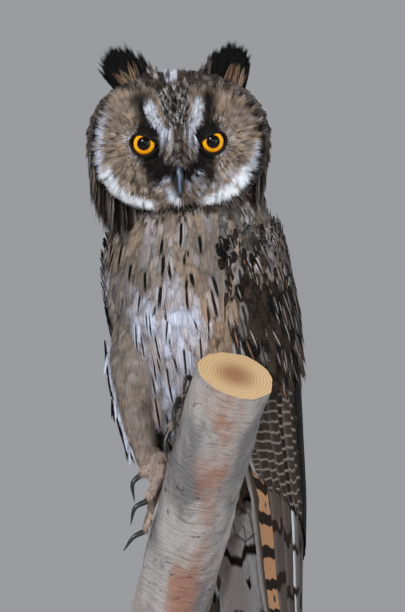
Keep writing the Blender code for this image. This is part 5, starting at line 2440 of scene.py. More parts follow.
        looks.varied(0.12, rng)
        form = Feather(24.0, 3.8, barbs=24, rows=4, columns=2, curl=0.8, cup=0.6, thick=0.32)
        size = np.linalg.norm(spans, axis=1) / form.length
        size = size * np.where(patch, rng.uniform(0.45, 0.72, count), 1.0)
        name, before = f"ear_tuft_{side.word}", len(self.pieces)
        self._grow(name + "_feathers", form, roots, HEAD.turned(spans), 0.0, size, looks, "tuft")
        for piece in self.pieces[before:]:
            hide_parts(name)

    def body(self) -> None:
        """Grows the breast, belly, flanks, back and shoulders."""
        right, _, height = BODY.into(self.skin.centres).T
        around = around_body(self.skin.centres)
        winged = (around > np.where(right < 0, 56, 66)) & (around < 134) & (height < 30)
        free = (self.skin.tracts == Tract.BODY.value) & ~winged
        flank = flank_share(self.skin.centres) > 0.5
        front = free & (around < 95) & ~flank
        for layer, where in (
            (UNDER, free & ~flank),
            (COVER, free & ~flank),
            (FLANK, free & flank),
            (VEIL, front),
            (STREAKS, front),
        ):
            self._body_layer(layer, where)

    def _body_layer(self, layer: BodyLayer, where: np.ndarray) -> None:
        """Grows one layer of the body's feathers.

        Args:
            layer: The layer.
            where: Which of the skin's triangles it grows on.
        """
        roots = self.skin.scatter(np.where(where, layer.spacing, 0), SEED + layer.seed)
        if layer in (COVER, STREAKS):
            roots = roots.some(streaked_columns(roots.points, layer is STREAKS))
        z = roots.points[:, 2] / MM
        aims = np.repeat(BODY.turned(np.array([[0.0, 0.0, -1.0]])), len(z), axis=0)
        shown = roots.points + aims * 9 * MM
        looks = body_looks(shown, self.rng, layer is COVER, layer.dark)
        around = around_body(roots.points)
        size = np.interp(z, (150, 200, 262, 290, 320), (1.1, 1.1, 0.95, 0.75, 0.6))
        size = size * (1 - 0.35 * smooth(around, 45, 60) * smooth(z, 245, 262))
        lift = layer.lift * (1 - 0.6 * smooth(around, 38, 60))
        self._grow(layer.name, layer.form, roots, aims, lift, size, looks, "breast")

    def coverts(self, side: Side, step: float = 6.2, rise: float = 4.4) -> None:
        """Grows the rows of small feathers over the upper part of a wing.

        Args:
            side: The wing's side.
            step: Degrees between feathers of a row.
            rise: Millimetres between rows.
        """
        angles, heights = [], []
        for i, height in enumerate(np.arange(-26, 60, rise)):
            row = np.arange(52 + step / 2 * (i % 2), 146, step)
            angles += list(row + self.rng.normal(0, 0.8, len(row)))
            heights += list(height + self.rng.normal(0, 1.0, len(row)))
        angle, height = np.array(angles), np.array(heights)
        low = np.interp(height, (-30, 0, 60), (3.4, 4.2, 3.8))
        lift = np.where(height > -30, np.minimum(low, core_height(angle, height) - 1.2), low)
        lift = np.maximum(lift, np.where(height < -20, 2.4, -2.0))
        spots = shell_points(np.radians(angle), height, lift, side)
        out = shell_points(np.radians(angle), height, lift + 1, side) - spots
        roots = self.skin.beside(BODY.out(spots), BODY.turned(out))
        aims = BODY.turned(np.tile((0.0, 0.10, -1.0), (len(angle), 1)))
        looks = covert_looks(roots.points, self.rng)
        size = np.interp(height, (-26, 0, 60), (1.0, 0.95, 0.6))
        form = Feather(17.0, 7.4, barbs=24, rows=4, columns=4, curl=1.4, cup=0.8, thick=0.4)
        lean = np.where(height > 20, -0.02, 0.12) if side is Side.LEFT else -0.08
        self._grow(f"coverts_{side.word}", form, roots, aims, lean, size, looks, "flight")

    def wing_edge(self) -> None:
        """Grows the white, black-rimmed edge of the right wing that shows beside the flank."""
        line = curve_points(WING_EDGE, 24) * MM
        centres = self.skin.centres
        for i, spot in enumerate(line):
            level = centres[np.abs(centres[:, 2] - spot[2]) < 3 * MM]
            line[i, 1] = level[np.argmin(level[:, 0]), 1]
        white = ("edge_white", (0.0, 0.0, 0.0), LAVENDER)
        black = ("edge_black", (-1.2, 2.0, 0.0), BLACK)
        form = Feather(13.0, 1.8, barbs=14, rows=3, columns=2, thick=0.3)
        for name, offset, ground in (white, black):
            points = line + np.array(offset) * MM
            roots = self.skin.beside(points, np.tile((-0.6, -1.0, 0.0), (len(points), 1)))
            looks = Looks.plain(len(points), ground, UMBER, self.rng)
            looks.lay(np.ones(len(points)), ink=(0.0, 0.0, 0.2))
            self._grow(name, form, roots, np.gradient(line, axis=0), 0.0, 1.0, looks, "flight")

    def legs(self) -> None:
        """Grows the feathers of the legs and of the toes."""
        roots = self.skin.scatter(np.where(self.skin.tracts == Tract.LEG.value, 1.6, 0), SEED + 20)
        aims = np.tile((0.03, -0.13, -1.0), (len(roots.points), 1))
        looks, form = leg_looks(roots.points, self.rng), Tuft(8.5, 2.2, 9, 0.28, 0.8)
        self._grow("leg_feathers", form, roots, aims, 0.24, 1.0, looks, "leg")
        roots = self.skin.scatter(np.where(self.skin.tracts == Tract.FOOT.value, 1.25, 0), SEED + 21)
        toes = [toe for side in foot_toes().values() for toe in side]
        bones = np.array([pair for toe in toes for pair in zip(toe.line, toe.line[1:])])
        starts, spans = bones[:, 0], bones[:, 1] - bones[:, 0]
        spots = roots.points[:, None] / MM - starts[None]
        part = np.clip(np.sum(spots * spans, axis=2) / np.sum(spans**2, axis=1), 0, 1)
        away = np.linalg.norm(spots - part[:, :, None] * spans, axis=2)
        aims = spans[np.argmin(away, axis=1)]
        looks = leg_looks(roots.points, self.rng)
        self._grow("toe_feathers", Tuft(4.2, 1.4), roots, aims, 0.24, 1.0, looks, "leg")

    def paint_skin(self, material: bpy.types.Material) -> None:
        """Gives the skin the coat's own markings.

        Args:
            material: The skin's material.
        """
        mesh = self.skin.piece.data
        points = read_rows(mesh.vertices, "co", 3)
        tracts = self.skin.tract_of(points)
        head = head_looks(points, self.rng)
        body = body_looks(points, self.rng, False, 0.0)
        leg = leg_looks(points, self.rng)
        on_head, on_leg = tracts == Tract.HEAD.value, tracts >= Tract.LEG.value
        for name in ("ground", "mark"):
            rows = getattr(body, name).copy()
            rows[on_head] = getattr(head, name)[on_head]
            rows[on_leg] = getattr(leg, name)[on_leg]
            write_vectors(mesh, name, rows)
        mesh.polygons.foreach_set("use_smooth", np.ones(len(mesh.polygons), bool))
        mesh.materials.append(material)


class Bed(Protocol):
    """A surface that long feathers are laid on."""

    def __call__(
        self, across: np.ndarray, along: np.ndarray, sideways: np.ndarray, lift: np.ndarray
    ) -> np.ndarray:
        """Points from places across and along, distances sideways and lifts."""


@dataclass(frozen=True)
class VaneLook:
    """Colours of one long feather.

    Attributes:
        ground: Main colour.
        mark: Colour of its markings.
        ink: Shares that the streak, the bars and the mottling take.
        bars: Bars along it.
        streak: Half-width of its streak.
        edge: Colour of its edges.
        edging: How strong the edge colour is.
    """

    ground: np.ndarray
    mark: np.ndarray
    ink: tuple[float, float, float] = NO_INK
    bars: float = 5.0
    streak: float = 0.1
    edge: np.ndarray | None = None
    edging: float = 0.0


@dataclass
class VaneSheet:
    """Long feathers laid on a bed, gathered into one piece.

    Attributes:
        name: The piece's name.
        pose: The bed's frame.
        bed: A point from a place across and along, a distance sideways and a lift.
        seed: Seed of its chance.
        profile: Half-width along a feather, as a share of its widest.
        rows: Rows of points along a feather.
    """

    name: str
    pose: Pose
    bed: Bed
    seed: int
    profile: tuple[tuple[float, float], ...] = (
        (0, 0.3),
        (0.15, 0.78),
        (0.4, 1.0),
        (0.78, 1.0),
        (0.9, 0.86),
        (0.97, 0.55),
        (1, 0.16),
    )
    rows: int = 15
    count: int = 0
    points: list[np.ndarray] = field(default_factory=list)
    faces: list[tuple[int, ...]] = field(default_factory=list)
    maps: list[np.ndarray] = field(default_factory=list)
    looks: list[Looks] = field(default_factory=list)

    def __post_init__(self) -> None:
        """Starts its chance."""
        self.rng = np.random.default_rng(self.seed)

    def add(
        self,
        root: tuple[float, float],
        tip: tuple[float, float],
        half: float,
        lifts: Sequence[float],
        rise: float,
        look: VaneLook,
    ) -> None:
        """Adds one feather.

        Args:
            root: Its place on the bed at the root.
            tip: Its place at the tip.
            half: Its half-width in millimetres.
            lifts: Its lift along it, in millimetres.
            rise: How much one edge stands over the other, in millimetres.
            look: Its colours.
        """
        rng = self.rng
        u = np.array([-1, -0.86, -0.55, -0.25, -0.05, 0.05, 0.25, 0.55, 0.86, 1.0])
        columns = len(u)
        v = np.linspace(0, 1, self.rows) ** 0.92
        share, place = np.repeat(v, columns), np.tile(u, self.rows)
        keys = np.array(self.profile)
        widths = np.interp(share, keys[:, 0], keys[:, 1])
        rough = np.abs(place) > 0.8
        splits = rng.random(self.rows) < 0.16
        notch = np.repeat(np.where(splits, rng.uniform(0.72, 0.9, self.rows), 1.0), columns)
        widths = widths * np.where(rough, notch * rng.uniform(0.93, 1.03, len(share)), 1.0)
        swept = share + (1 - place**2) * 0.018 + rng.normal(0, 0.003, len(share)) * rough
        across = root[0] + (tip[0] - root[0]) * swept
        along = root[1] + (tip[1] - root[1]) * swept
        lift = np.interp(share, np.linspace(0, 1, len(lifts)), lifts)
        camber = 0.5 * (1 - place**2) + 0.22 * (np.abs(place) < 0.1)
        ripple = 0.10 * np.sin(share * 40 + rng.random() * 6) * np.abs(place)
        upper = lift + place * rise / 2 + camber + ripple
        lower = lift + place * rise / 2 + 0.75 * (1 - place**2) * 0.5 + ripple - 0.12
        sideways = place * widths * half
        top = self.bed(across, along, sideways, upper)
        bottom = self.bed(across, along, sideways, lower)
        faces = grid_faces(self.rows, columns)
        a, b, c = (top[i] for i in faces[columns // 2][:3])
        out = self.bed(across, along, sideways, upper + 1) - top
        turned = np.dot(np.cross(b - a, c - a), out[columns // 2]) < 0
        start = sum(len(p) for p in self.points)
        size = len(top)
        for face in faces:
            over = face[::-1] if turned else face
            self.faces.append(tuple(start + i for i in over))
            self.faces.append(tuple(start + size + i for i in over[::-1]))
        self.points += [top, bottom]
        uv = np.column_stack([0.5 + place / 2 * widths, share])
        self.maps.append(np.vstack([uv, uv]))
        looks = Looks.plain(size * 2, look.ground, look.mark, rng)
        edges = np.tile(np.abs(place), 2)
        if look.edge is not None:
            looks.lay(smooth(edges, 0.5, 0.9) * look.edging, ground=look.edge)
        looks.lay(np.ones(size * 2), ink=look.ink, band=(look.bars, look.streak))
        looks.band[:, 2] = rng.random()
        self.looks.append(looks)
        self.count += 1

    def build(self, material: bpy.types.Material, slot: str, replaced: str) -> bpy.types.Object:
        """Makes the piece.

        Args:
            material: Its material.
            slot: The record's material slot.
            replaced: The solid that it stands for.

        Returns:
            The piece.
        """
        side = math.ceil(math.sqrt(self.count))
        cells = []
        for i, uv in enumerate(self.maps):
            half = len(uv) // 2
            for part, shift in ((uv[:half], 0.0), (uv[half:], 0.5)):
                corner = np.array([i % side, i // side]) / side
                size = np.array([0.46, 0.94]) / side
                cells.append(corner + part * size + np.array([shift / side, 0]) + 0.01 / side)
        rows = [look.fields() for look in self.looks]
        fields = {key: np.vstack([row[key] for row in rows]) for key in rows[0]}
        uv = {BAKE_MAP: np.vstack(cells), VANE_MAP: np.vstack(self.maps)}
        piece = mesh_object(self.name, self.pose.out(np.vstack(self.points)), self.faces, uv, fields)
        return dressed(piece, material, slot, replaced)


@dataclass(frozen=True)
class Tier:
    """One row of a folded wing's feathers, from its edge at the breast to its edge at the back.

    Attributes:
        count: How many.
        root_angles: Degrees round the body at the roots, first and last.
        root_heights: Heights of the roots.
        tip_angles: Degrees at the tips.
        tip_heights: Heights of the tips.
        half: Half-width of a feather.
        lift: Height over the wing's bed.
    """

    count: int
    root_angles: tuple[float, float]
    root_heights: tuple[float, float]
    tip_angles: tuple[float, float]
    tip_heights: tuple[float, float]
    half: float
    lift: float


@dataclass(frozen=True)
class Wing:
    """A folded wing's long feathers.

    Attributes:
        side: Its side.
        tiers: Its rows of feathers, the longest first.
        edge_lift: How far the right wing's first feathers stand off the flank.
    """

    side: Side
    tiers: tuple[Tier, ...] = (
        Tier(12, (50, 104), (-24, -30), (53, 130), (-186, -222), 7.2, 0.5),
        Tier(14, (56, 136), (0, -8), (54, 146), (-88, -160), 6.6, 2.2),
    )
    edge_lift: float = 4.0

    def bed(
        self, across: np.ndarray, along: np.ndarray, sideways: np.ndarray, lift: np.ndarray
    ) -> np.ndarray:
        """Points on the wing's bed, from degrees round the body, heights, distances and lifts."""
        half = smooth_rows(WING_BED, along)[:, 0]
        return shell_points(np.radians(across) + sideways / half, along, lift, self.side)

    @staticmethod
    def look(tier: int, share: float, rng: np.random.Generator) -> VaneLook:
        """Colours of a wing feather.

        Args:
            tier: Its row, from the longest feathers up.
            share: Where it is in its row, from the edge at the breast.
            rng: Source of chance.

        Returns:
            The look.
        """
        if tier == 0:
            if share < 0.05:
                return VaneLook(BROWN, UMBER, (0.0, 0.0, 0.3), 8.0, 0.05, PALE, 0.5)
            if share < 0.12:
                faded = between(ORANGE, ASH, 0.25)
                return VaneLook(faded, UMBER, (0.0, 0.55, 0.0), 8.0, 0.05, BUFF, 0.3)
            if 0.6 < share < 0.7:
                return VaneLook(GREY, UMBER, (0.0, 0.2, 0.3), 7.0, 0.05, WHITE, 0.9)
            return VaneLook(tint(0.33, 0.295, 0.28), UMBER, (0.0, 0.3, 0.4), 5.0, 0.05, ASH, 0.2)
        if share < 0.07:
            return VaneLook(BROWN, ASH, (0.0, 0.2, 0.1), 26.0, 0.05, PALE, 0.9)
        if share > 0.5:
            return VaneLook(BLACK, ASH, (0.0, 0.0, 0.42), 20.0, 0.05, BROWN, 0.4)
        ground = between(BLACK, BROWN, 0.2 + 0.7 * rng.random())
        return VaneLook(ground, tint(0.50, 0.47, 0.45), (0.0, 0.27, 0.15), 16.0, 0.05, GREY, 0.5)

    def build(self, material: bpy.types.Material) -> bpy.types.Object:
        """The wing's feathers as one piece.

        Args:
            material: The feathers' material.

        Returns:
            The piece.
        """
        name = f"wing_{self.side.word}"
        sheet = VaneSheet(name + "_feathers", BODY, self.bed, SEED + 30 + self.side)
        for number, tier in enumerate(self.tiers):
            ranges = (tier.root_angles, tier.root_heights, tier.tip_angles, tier.tip_heights)
            for i in range(tier.count):
                share = i / (tier.count - 1)
                spots = [low + (high - low) * share for low, high in ranges]
                spots[3] += sheet.rng.normal(0, 1.5)
                sunk = float(core_height(np.array([spots[0]]), np.array([spots[1]]))[0]) * 0.5
                edge = self.edge_lift if self.side is Side.RIGHT and i < 2 else 0.0
                lift = tier.lift + 0.10 * (i % 2) + 0.04 * i + edge
                lifts = [min(sunk, lift), lift, lift, lift]
                look = self.look(number, share, sheet.rng)
                root, tip = (spots[0], spots[1]), (spots[2], spots[3])
                sheet.add(root, tip, tier.half, lifts, -1.2, look)
        return sheet.build(material, "flight", name)


@dataclass(frozen=True)
class Tail:
    """The tail's long feathers and their coverts.

    Attributes:
        pairs: Pairs of long feathers.
        half: Half-width of a long feather.
        root: Height of their roots along the body.
        tip: Height of the middle ones' tips.
        coverts: Rows of coverts: level, height of the tips, and how many.
    """

    pairs: int = 5
    half: float = 11.0
    root: float = -94.0
    tip: float = -223.0
    coverts: tuple[tuple[float, float, int], ...] = ((-7.4, -116, 5), (-6.0, -132, 4), (6.4, -136, 5))

    @staticmethod
    def bed(
        across: np.ndarray, along: np.ndarray, sideways: np.ndarray, lift: np.ndarray
    ) -> np.ndarray:
        """Points on the tail's bed, from places across, heights, distances and lifts."""
        x = across + sideways
        return np.column_stack([x, 6 - 0.0035 * x**2 + lift, along])

    def build(self, material: bpy.types.Material) -> bpy.types.Object:
        """The tail's feathers as one piece.

        Args:
            material: The feathers' material.

        Returns:
            The piece.
        """
        sheet = VaneSheet("tail_feathers", BODY, self.bed, SEED + 40)
        for i in range(self.pairs):
            for side in (Side.RIGHT, Side.LEFT):
                spread = 2.0 + 3.6 * i
                level = 2.6 - 1.15 * i - (0.55 if side is Side.LEFT else 0)
                ground = between(WHITE, BUFF, 0.25 + sheet.rng.random() * 0.4)
                look = VaneLook(ground, UMBER, (0.0, 0.20, 0.1), 3.0, 0.04, WHITE, 0.3)
                root, tip = (side * spread * 0.45, self.root), (side * spread, self.tip + 1.5 * i)
                sheet.add(root, tip, self.half, [level * 0.8, level, level], side * -0.3, look)
        for level, end, count in self.coverts:
            for i in range(count):
                x = (i - (count - 1) / 2) * 6.5
                lift = level + math.copysign(0.6 * (i % 2), level)
                look = VaneLook(PALE if level < 0 else ASH, BROWN, (0.7, 0.0, 0.2), 3.0, 0.08)
                root, tip = (x * 0.7, self.root + 2), (x, end + 4 * (i % 2))
                sheet.add(root, tip, 6.5, [lift * 0.7, lift, lift], 0.0, look)
        return sheet.build(material, "flight", "tail")


@dataclass(frozen=True)
class Eye:
    """An eyeball with its cornea, and the lids round it.

    Attributes:
        side: Its side.
        rings: Rings from the pupil to the back.
        sides: Points in a ring.
        lid_sides: Points round the lids.
        lid_steps: Points across each face of the lids.
        gap: Millimetres between the ball and the lids.
    """

    side: Side
    rings: int = 40
    sides: int = 64
    lid_sides: int = 72
    lid_steps: int = 9
    gap: float = 0.3

    @property
    def pose(self) -> Pose:
        """The eye's frame, whose -Y axis is the line of sight."""
        return Pose.of(
            Matrix.Translation(HEAD_CENTRE),
            Matrix.Rotation(HEAD_ROLL, 4, "Y"),
            Matrix.Translation((self.side * EYE_SPACING / 2, -EYE_DEPTH, 0)),
            Matrix.Rotation(self.side * EYE_SPLAY, 4, "Z"),
        )

    def lid_start(self, turn: np.ndarray) -> np.ndarray:
        """Where the lids' edge lies round the eye.

        Args:
            turn: Directions round the eye.

        Returns:
            Angles off the line of sight.
        """
        outward = turn if self.side is Side.LEFT else math.pi - turn
        reach = smooth_rows(LID_OPENING, np.degrees(outward) % 360)[:, 0]
        return np.arcsin(np.minimum(0.99, reach / (EYE_RADIUS + self.gap)))

    def ball(self, material: bpy.types.Material) -> bpy.types.Object:
        """The eyeball.

        Args:
            material: Its material.

        Returns:
            The piece.
        """
        off = np.repeat(np.linspace(0, math.pi, self.rings + 1)[1:-1], self.sides)
        turn = np.tile(ring_angles(self.sides), self.rings - 1)
        radius = EYE_RADIUS + CORNEA_BULGE * np.maximum(0, np.cos(off)) ** 6
        poles = [(0, -EYE_RADIUS - CORNEA_BULGE, 0), (0, EYE_RADIUS, 0)]
        points = np.vstack([off_axis(off, turn) * radius[:, None], poles])
        faces = capped_faces(self.rings - 1, self.sides)
        gaze = points[:, [0, 2]] / 20 + 0.5
        name = f"eye_{self.side.word}"
        made = mesh_object(name + "_ball", self.pose.out(points), faces, {GAZE_MAP: gaze})
        faces_outward(made)
        return dressed(made, material, "eye", name)

    def lids(self, material: bpy.types.Material) -> bpy.types.Object:
        """Both lids, as a shell with a rounded rim.

        Args:
            material: Their material.

        Returns:
            The piece.
        """
        turn = ring_angles(self.lid_sides)
        start = self.lid_start(turn)
        inner = EYE_RADIUS + self.gap + CORNEA_BULGE * 0.25
        steps = np.linspace(0, 1, self.lid_steps)
        rows = [(start + (LID_EDGE - start) * step, inner) for step in steps[::-1]]
        for step in steps:
            fold = 0.12 * math.sin(step * 17) * (1 - step)
            rim = LID_THICKNESS * (0.55 if step == 0 else 1.0) + fold
            rows.append((start + (LID_EDGE - start) * step, inner + rim))
        points = np.vstack([off_axis(off, turn) * radius for off, radius in rows])
        sides, last = self.lid_sides, (len(rows) - 1) * self.lid_sides
        faces: list[Sequence[int]] = list(grid_faces(len(rows), sides, True))
        faces += [(last + s, last + (s + 1) % sides, (s + 1) % sides, s) for s in range(sides)]
        name = f"eyelids_{self.side.word}"
        made = mesh_object(name + "_skin", self.pose.out(points), faces)
        faces_outward(made)
        return dressed(made, material, "lid", name)


@dataclass(frozen=True)
class Horn:
    """The bill and the claws.

    Attributes:
        upper_depth: How much of its depth the upper bill keeps.
        lower_depth: How much the lower bill keeps.
        claw_radii: Radii of a claw from its root to its tip.
    """

    upper_depth: float = 0.95
    lower_depth: float = 0.6
    claw_radii: tuple[float, ...] = (1.7, 1.4, 0.95, 0.22)

    def bill(self, material: bpy.types.Material) -> list[bpy.types.Object]:
        """The upper bill, with a painted highlight along its ridge, and the lower bill.

        Args:
            material: Their material.

        Returns:
            The pieces.
        """
        upper = tube("bill_upper_horn", BILL_LINE, BILL_WIDTHS, 36, 48, self.upper_depth, HEAD)
        line, widths = LOWER_BILL_LINE, LOWER_BILL_WIDTHS
        lower = tube("bill_lower_horn", line, widths, 24, 24, self.lower_depth, HEAD)
        x, y, _ = HEAD.into(read_rows(upper.data.vertices, "co", 3)).T
        # Painted highlight along the top of the upper bill, stored as the ridge attribute.
        ridge = (1 - smooth(np.abs(x), 0.15, 0.9)) * smooth(-y, 33.5, 36.5)
        write_vectors(upper.data, "ridge", np.column_stack([ridge, 0 * ridge, 0 * ridge]))
        pairs = ((upper, "bill_upper"), (lower, "bill_lower"))
        return [dressed(piece, material, "horn", name) for piece, name in pairs]

    def claws(self, material: bpy.types.Material) -> list[bpy.types.Object]:
        """The eight claws.

        Args:
            material: Their material.

        Returns:
            The pieces.
        """
        made = []
        for side, toes in foot_toes().items():
            for i, toe in enumerate(toes):
                name = f"claw_{side.word}_{i + 1}"
                piece = tube(name + "_horn", toe.claw, self.claw_radii, 24, 18)
                made.append(dressed(piece, material, "horn", name))
        return made


@dataclass(frozen=True)
class Perch:
    """The cut branch: its bark and its two sawn ends.

    Attributes:
        rings: Rings along it.
        sides: Points in a ring.
        end_rings: Rings of a sawn end.
    """

    rings: int = 150
    sides: int = 96
    end_rings: int = 13

    def radii(self, turn: np.ndarray) -> np.ndarray:
        """Radii of the bark, with its swellings, ridges and pores.

        Args:
            turn: Directions round the branch.

        Returns:
            Millimetres, one row a ring.
        """
        place = np.arange(self.rings)[:, None] / (self.rings - 1) * 12
        turn, tall = turn[None], place * 15.0
        swell = 1 + 0.02 * np.sin(3 * turn + 0.7 * place) + 0.015 * np.sin(1.9 * place + turn)
        ridges = 0.35 * np.sin(turn * 9 + 1.3 * np.sin(tall / 11)) * np.sin(tall / 17 + turn * 2)
        pores = 0.25 * np.sin(tall / 2.3 + 2.0 * np.sin(turn * 5)) * np.sin(turn * 13 + tall / 9)
        return PERCH_RADIUS * swell + ridges + pores - 0.35

    def sawn_end(self, name: str, rim: np.ndarray, centre: np.ndarray, out: np.ndarray) -> bpy.types.Object:
        """A sawn end inside the bark's edge.

        Args:
            name: Its name.
            rim: Points of the edge in millimetres.
            centre: The branch's centre there.
            out: Where the end faces.

        Returns:
            The object.
        """
        shares = np.linspace(0, 1, self.end_rings + 1)[1:]
        disc = centre + (rim[None] - centre) * shares[:, None, None]
        disc = np.vstack([disc.reshape(-1, 3), centre[None]])
        faces: list[Sequence[int]] = list(grid_faces(len(shares), self.sides, True))
        faces += [(len(disc) - 1, (s + 1) % self.sides, s) for s in range(self.sides)]
        piece = mesh_object(name, disc * MM, faces)
        if np.dot(np.array(piece.data.polygons[-1].normal), out) < 0:
            piece.data.flip_normals()
        return piece

    def build(self, bark: bpy.types.Material) -> list[bpy.types.Object]:
        """The bark and the ends.

        Args:
            bark: The bark's material.

        Returns:
            The pieces.
        """
        spots = curve_points(PERCH_LINE, self.rings)
        ahead = unit(np.gradient(spots, axis=0))
        across = unit(np.cross(ahead, (0.0, 1.0, 0.0)))
        over = unit(np.cross(across, ahead))
        turn = ring_angles(self.sides)
        round_it = turn[None, :, None]
        ring = np.cos(round_it) * across[:, None] + np.sin(round_it) * over[:, None]
        points = spots[:, None] + ring * self.radii(turn)[:, :, None]
        faces = grid_faces(self.rings, self.sides, True)
        shell = mesh_object("perch_bark", points.reshape(-1, 3) * MM, faces)
        if np.array(shell.data.polygons[0].normal) @ (points[0, 0] - spots[0]) < 0:
            shell.data.flip_normals()
        made = [dressed(shell, bark, "bark", "perch")]
        for row, name, way in ((0, "perch_cut_low", -1), (-1, "perch_cut_high", 1)):
            piece = self.sawn_end(name, points[row], spots[row], ahead[row] * way)
            finish = CutWoodFinish(tuple(spots[row] * MM), tuple(ahead[row]), name)
            made.append(dressed(piece, finish.material(), "bark", "perch"))
        return made


def lathe(
    name: str,
    profile: Sequence[tuple[float, float]],
    centre: tuple[float, float],
    sides: int,
) -> bpy.types.Object:
    """A turned solid.

    Args:
        name: Its name.
        profile: Radius and height, from the middle below to the middle above.
        centre: Where its axis stands.
        sides: Points round it.

    Returns:
        The object.
    """
    turn = ring_angles(sides)
    rows = [
        np.column_stack([centre[0] + r * np.cos(turn), centre[1] + r * np.sin(turn), np.full(sides, z)])
        for r, z in profile[1:-1]
    ]
    poles = [(*centre, profile[0][1]), (*centre, profile[-1][1])]
    made = mesh_object(name, np.vstack([*rows, poles]) * MM, capped_faces(len(rows), sides))
    faces_outward(made)
    return made


@dataclass(frozen=True)
class Stand:
    """The display stand's base and rod.

    Attributes:
        base_radius: Radius of the base.
        base_height: Its height.
        edge: Radius of its rounded upper edge.
        rod_radius: Radius of the rod.
        rod_top: Height of its top.
    """

    base_radius: float = 115.0
    base_height: float = 12.0
    edge: float = 3.0
    rod_radius: float = 5.0
    rod_top: float = 60.0

    def base(self, wood: bpy.types.Material) -> bpy.types.Object:
        """The round wooden base.

        Args:
            wood: Its material.

        Returns:
            The piece.
        """
        wide, high, edge = self.base_radius, self.base_height, self.edge
        bend = [math.radians(degrees) for degrees in range(0, 91, 10)]
        profile = [(0, 0), (100, 0), (112.6, 0), (113, 0.05), (114.6, 0.6), (wide, 1.4), (wide, 8.8)]
        profile += [
            (wide - edge + edge * math.cos(a), high - edge + edge * math.sin(a)) for a in bend
        ]
        profile += [(111.9, high), (90, high), (40, high), (0, high)]
        return dressed(lathe("stand_base_wood", profile, (0, 0), 160), wood, "base", "stand_base")

    def rod(self, steel: bpy.types.Material) -> bpy.types.Object:
        """The steel rod under the branch.

        Args:
            steel: Its material.

        Returns:
            The piece.
        """
        wide, low, top = self.rod_radius, self.base_height, self.rod_top
        profile = [(0, low + 0.3), (4.6, low + 0.3), (4.95, low + 0.5), (wide, low + 0.8), (wide, 30)]
        profile += [(wide, 59.4), (4.8, 59.9), (0, top)]
        piece = lathe("stand_rod_steel", profile, PERCH_LINE[0][:2], 64)
        return dressed(piece, steel, "rod", "stand_rod")


@dataclass(frozen=True)
class Lamp:
    """A soft square light aimed at the owl.

    Attributes:
        name: Its name.
        place: Its place in metres.
        size: Its side in metres.
        power: Its power in watts.
        colour: Its colour.
    """

    name: str
    place: tuple[float, float, float]
    size: float
    power: float
    colour: tuple[float, float, float] = (1.0, 1.0, 1.0)

    def shine(self) -> None:
        """Puts it up."""
        data = bpy.data.lights.new(self.name, "AREA")
        data.size, data.energy, data.color = self.size, self.power, self.colour
        lamp = bpy.data.objects.new(self.name, data)
        lamp.location = self.place
        away = Vector(LAMP_TARGET) - Vector(self.place)
        lamp.rotation_euler = away.to_track_quat("-Z", "Y").to_euler()
        bpy.context.scene.collection.objects.link(lamp)


LAMP_TARGET = (0.0, 0.0, 0.25)
LAMPS = (
    Lamp("key", (-0.7, -1.5, 1.35), 0.42, 19.5, (0.97, 0.99, 1.0)),
    Lamp("fill", (1.2, -1.5, 0.5), 1.0, 9.5, (0.93, 0.96, 1.0)),
    Lamp("rim", (0.5, 1.3, 1.2), 0.9, 12.0),
    Lamp("catch", (0.0, -1.4, 0.62), 0.075, 4.6),
)


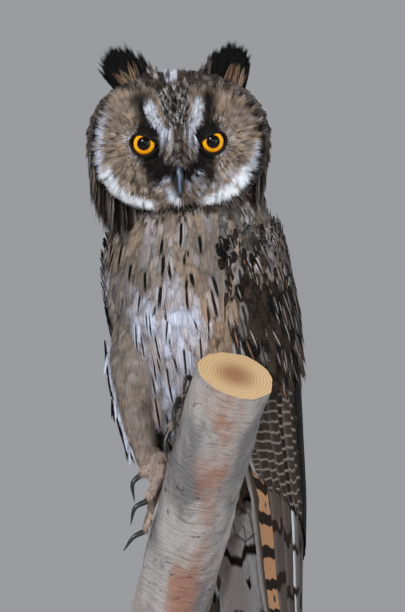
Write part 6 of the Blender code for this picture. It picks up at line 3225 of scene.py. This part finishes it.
class Studio:
    """Camera, lights and floor."""

    def build(self) -> None:
        """Sets the stage."""
        self._camera()
        self._floor()
        self._world()
        for lamp in LAMPS:
            lamp.shine()

    @staticmethod
    def _camera() -> None:
        """The photograph's view."""
        scene = bpy.context.scene
        scene.view_settings.view_transform = "Standard"
        data = bpy.data.cameras.new("camera")
        data.sensor_width = SENSOR
        data.lens = SENSOR * CAMERA_DISTANCE * PIXELS_A_METRE / PHOTO_SIZE[1]
        data.clip_end = 20
        camera = bpy.data.objects.new("camera", data)
        x = (PHOTO_SIZE[0] / 2 - PHOTO_MIDDLE) / PIXELS_A_METRE
        camera.location = (x, -CAMERA_DISTANCE, PHOTO_BOTTOM + PHOTO_SIZE[1] / 2 / PIXELS_A_METRE)
        camera.rotation_euler = (math.radians(90), 0, 0)
        scene.collection.objects.link(camera)
        scene.camera = camera

    @staticmethod
    def _floor() -> None:
        """A pale plain floor."""
        turn = ring_angles(FLOOR_SIDES)
        rim = np.column_stack([np.cos(turn), np.sin(turn), 0 * turn]) * FLOOR_RADIUS
        floor = mesh_object("floor", rim, [list(range(FLOOR_SIDES))], shaded=False)
        graph = Graph("floor")
        cloud = graph.noise(graph.place(), 3.0, 3.0)
        colour = graph.mix(tint(0.80, 0.79, 0.77), tint(0.84, 0.83, 0.81), cloud)
        floor.data.materials.append(graph.finish(Base_Color=colour, Roughness=0.8))

    @staticmethod
    def _world() -> None:
        """Soft light from all round."""
        world = bpy.data.worlds.new("studio")
        world.use_nodes = True
        back = world.node_tree.nodes["Background"]
        back.inputs["Color"].default_value = (*tint(0.79, 0.80, 0.82), 1)
        back.inputs["Strength"].default_value = 0.55
        bpy.context.scene.world = world


def bare_parts() -> list[bpy.types.Object]:
    """The eyes, lids, bill and claws.

    Returns:
        The pieces.
    """
    eye = EyeFinish().material()
    lid = SkinFinish("lid", tint(0.01, 0.01, 0.01), tint(0.05, 0.045, 0.045), 1500.0, 0.6).material()
    made = []
    for side in Side:
        made += [Eye(side).ball(eye), Eye(side).lids(lid)]
    # The bill's second colour is its paler patches and its painted ridge highlight.
    bill = HornFinish("bill", tint(0.045, 0.055, 0.09), tint(0.38, 0.47, 0.60), 0.3)
    claw = HornFinish("claw", tint(0.07, 0.06, 0.06), tint(0.28, 0.25, 0.23), 0.32)
    made += Horn().bill(bill.material())
    return made + Horn().claws(claw.material())


def main() -> None:
    """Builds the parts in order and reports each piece."""
    logging.basicConfig(level=logging.INFO, format="%(relativeCreated)d ms %(message)s", stream=sys.stdout)
    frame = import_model()
    plumage = PlumageFinish("plumage").material()
    vanes = PlumageFinish("vanes", fibres=0.2).material()
    pieces = Coat(Skin(frame["nodes"]), plumage).build()
    pieces += [Wing(side).build(vanes) for side in Side]
    pieces.append(Tail().build(vanes))
    pieces += bare_parts()
    pieces += Perch().build(BarkFinish().material())
    pieces += [Stand().base(StainedWoodFinish().material()), Stand().rod(SteelFinish().material())]
    for piece in pieces:
        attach(piece, ROOT_BODY)
        LOG.info("%s: %d faces", piece.name, len(piece.data.polygons))
    Studio().build()
    LOG.info("scene done")


if __name__ == "__main__":
    main()
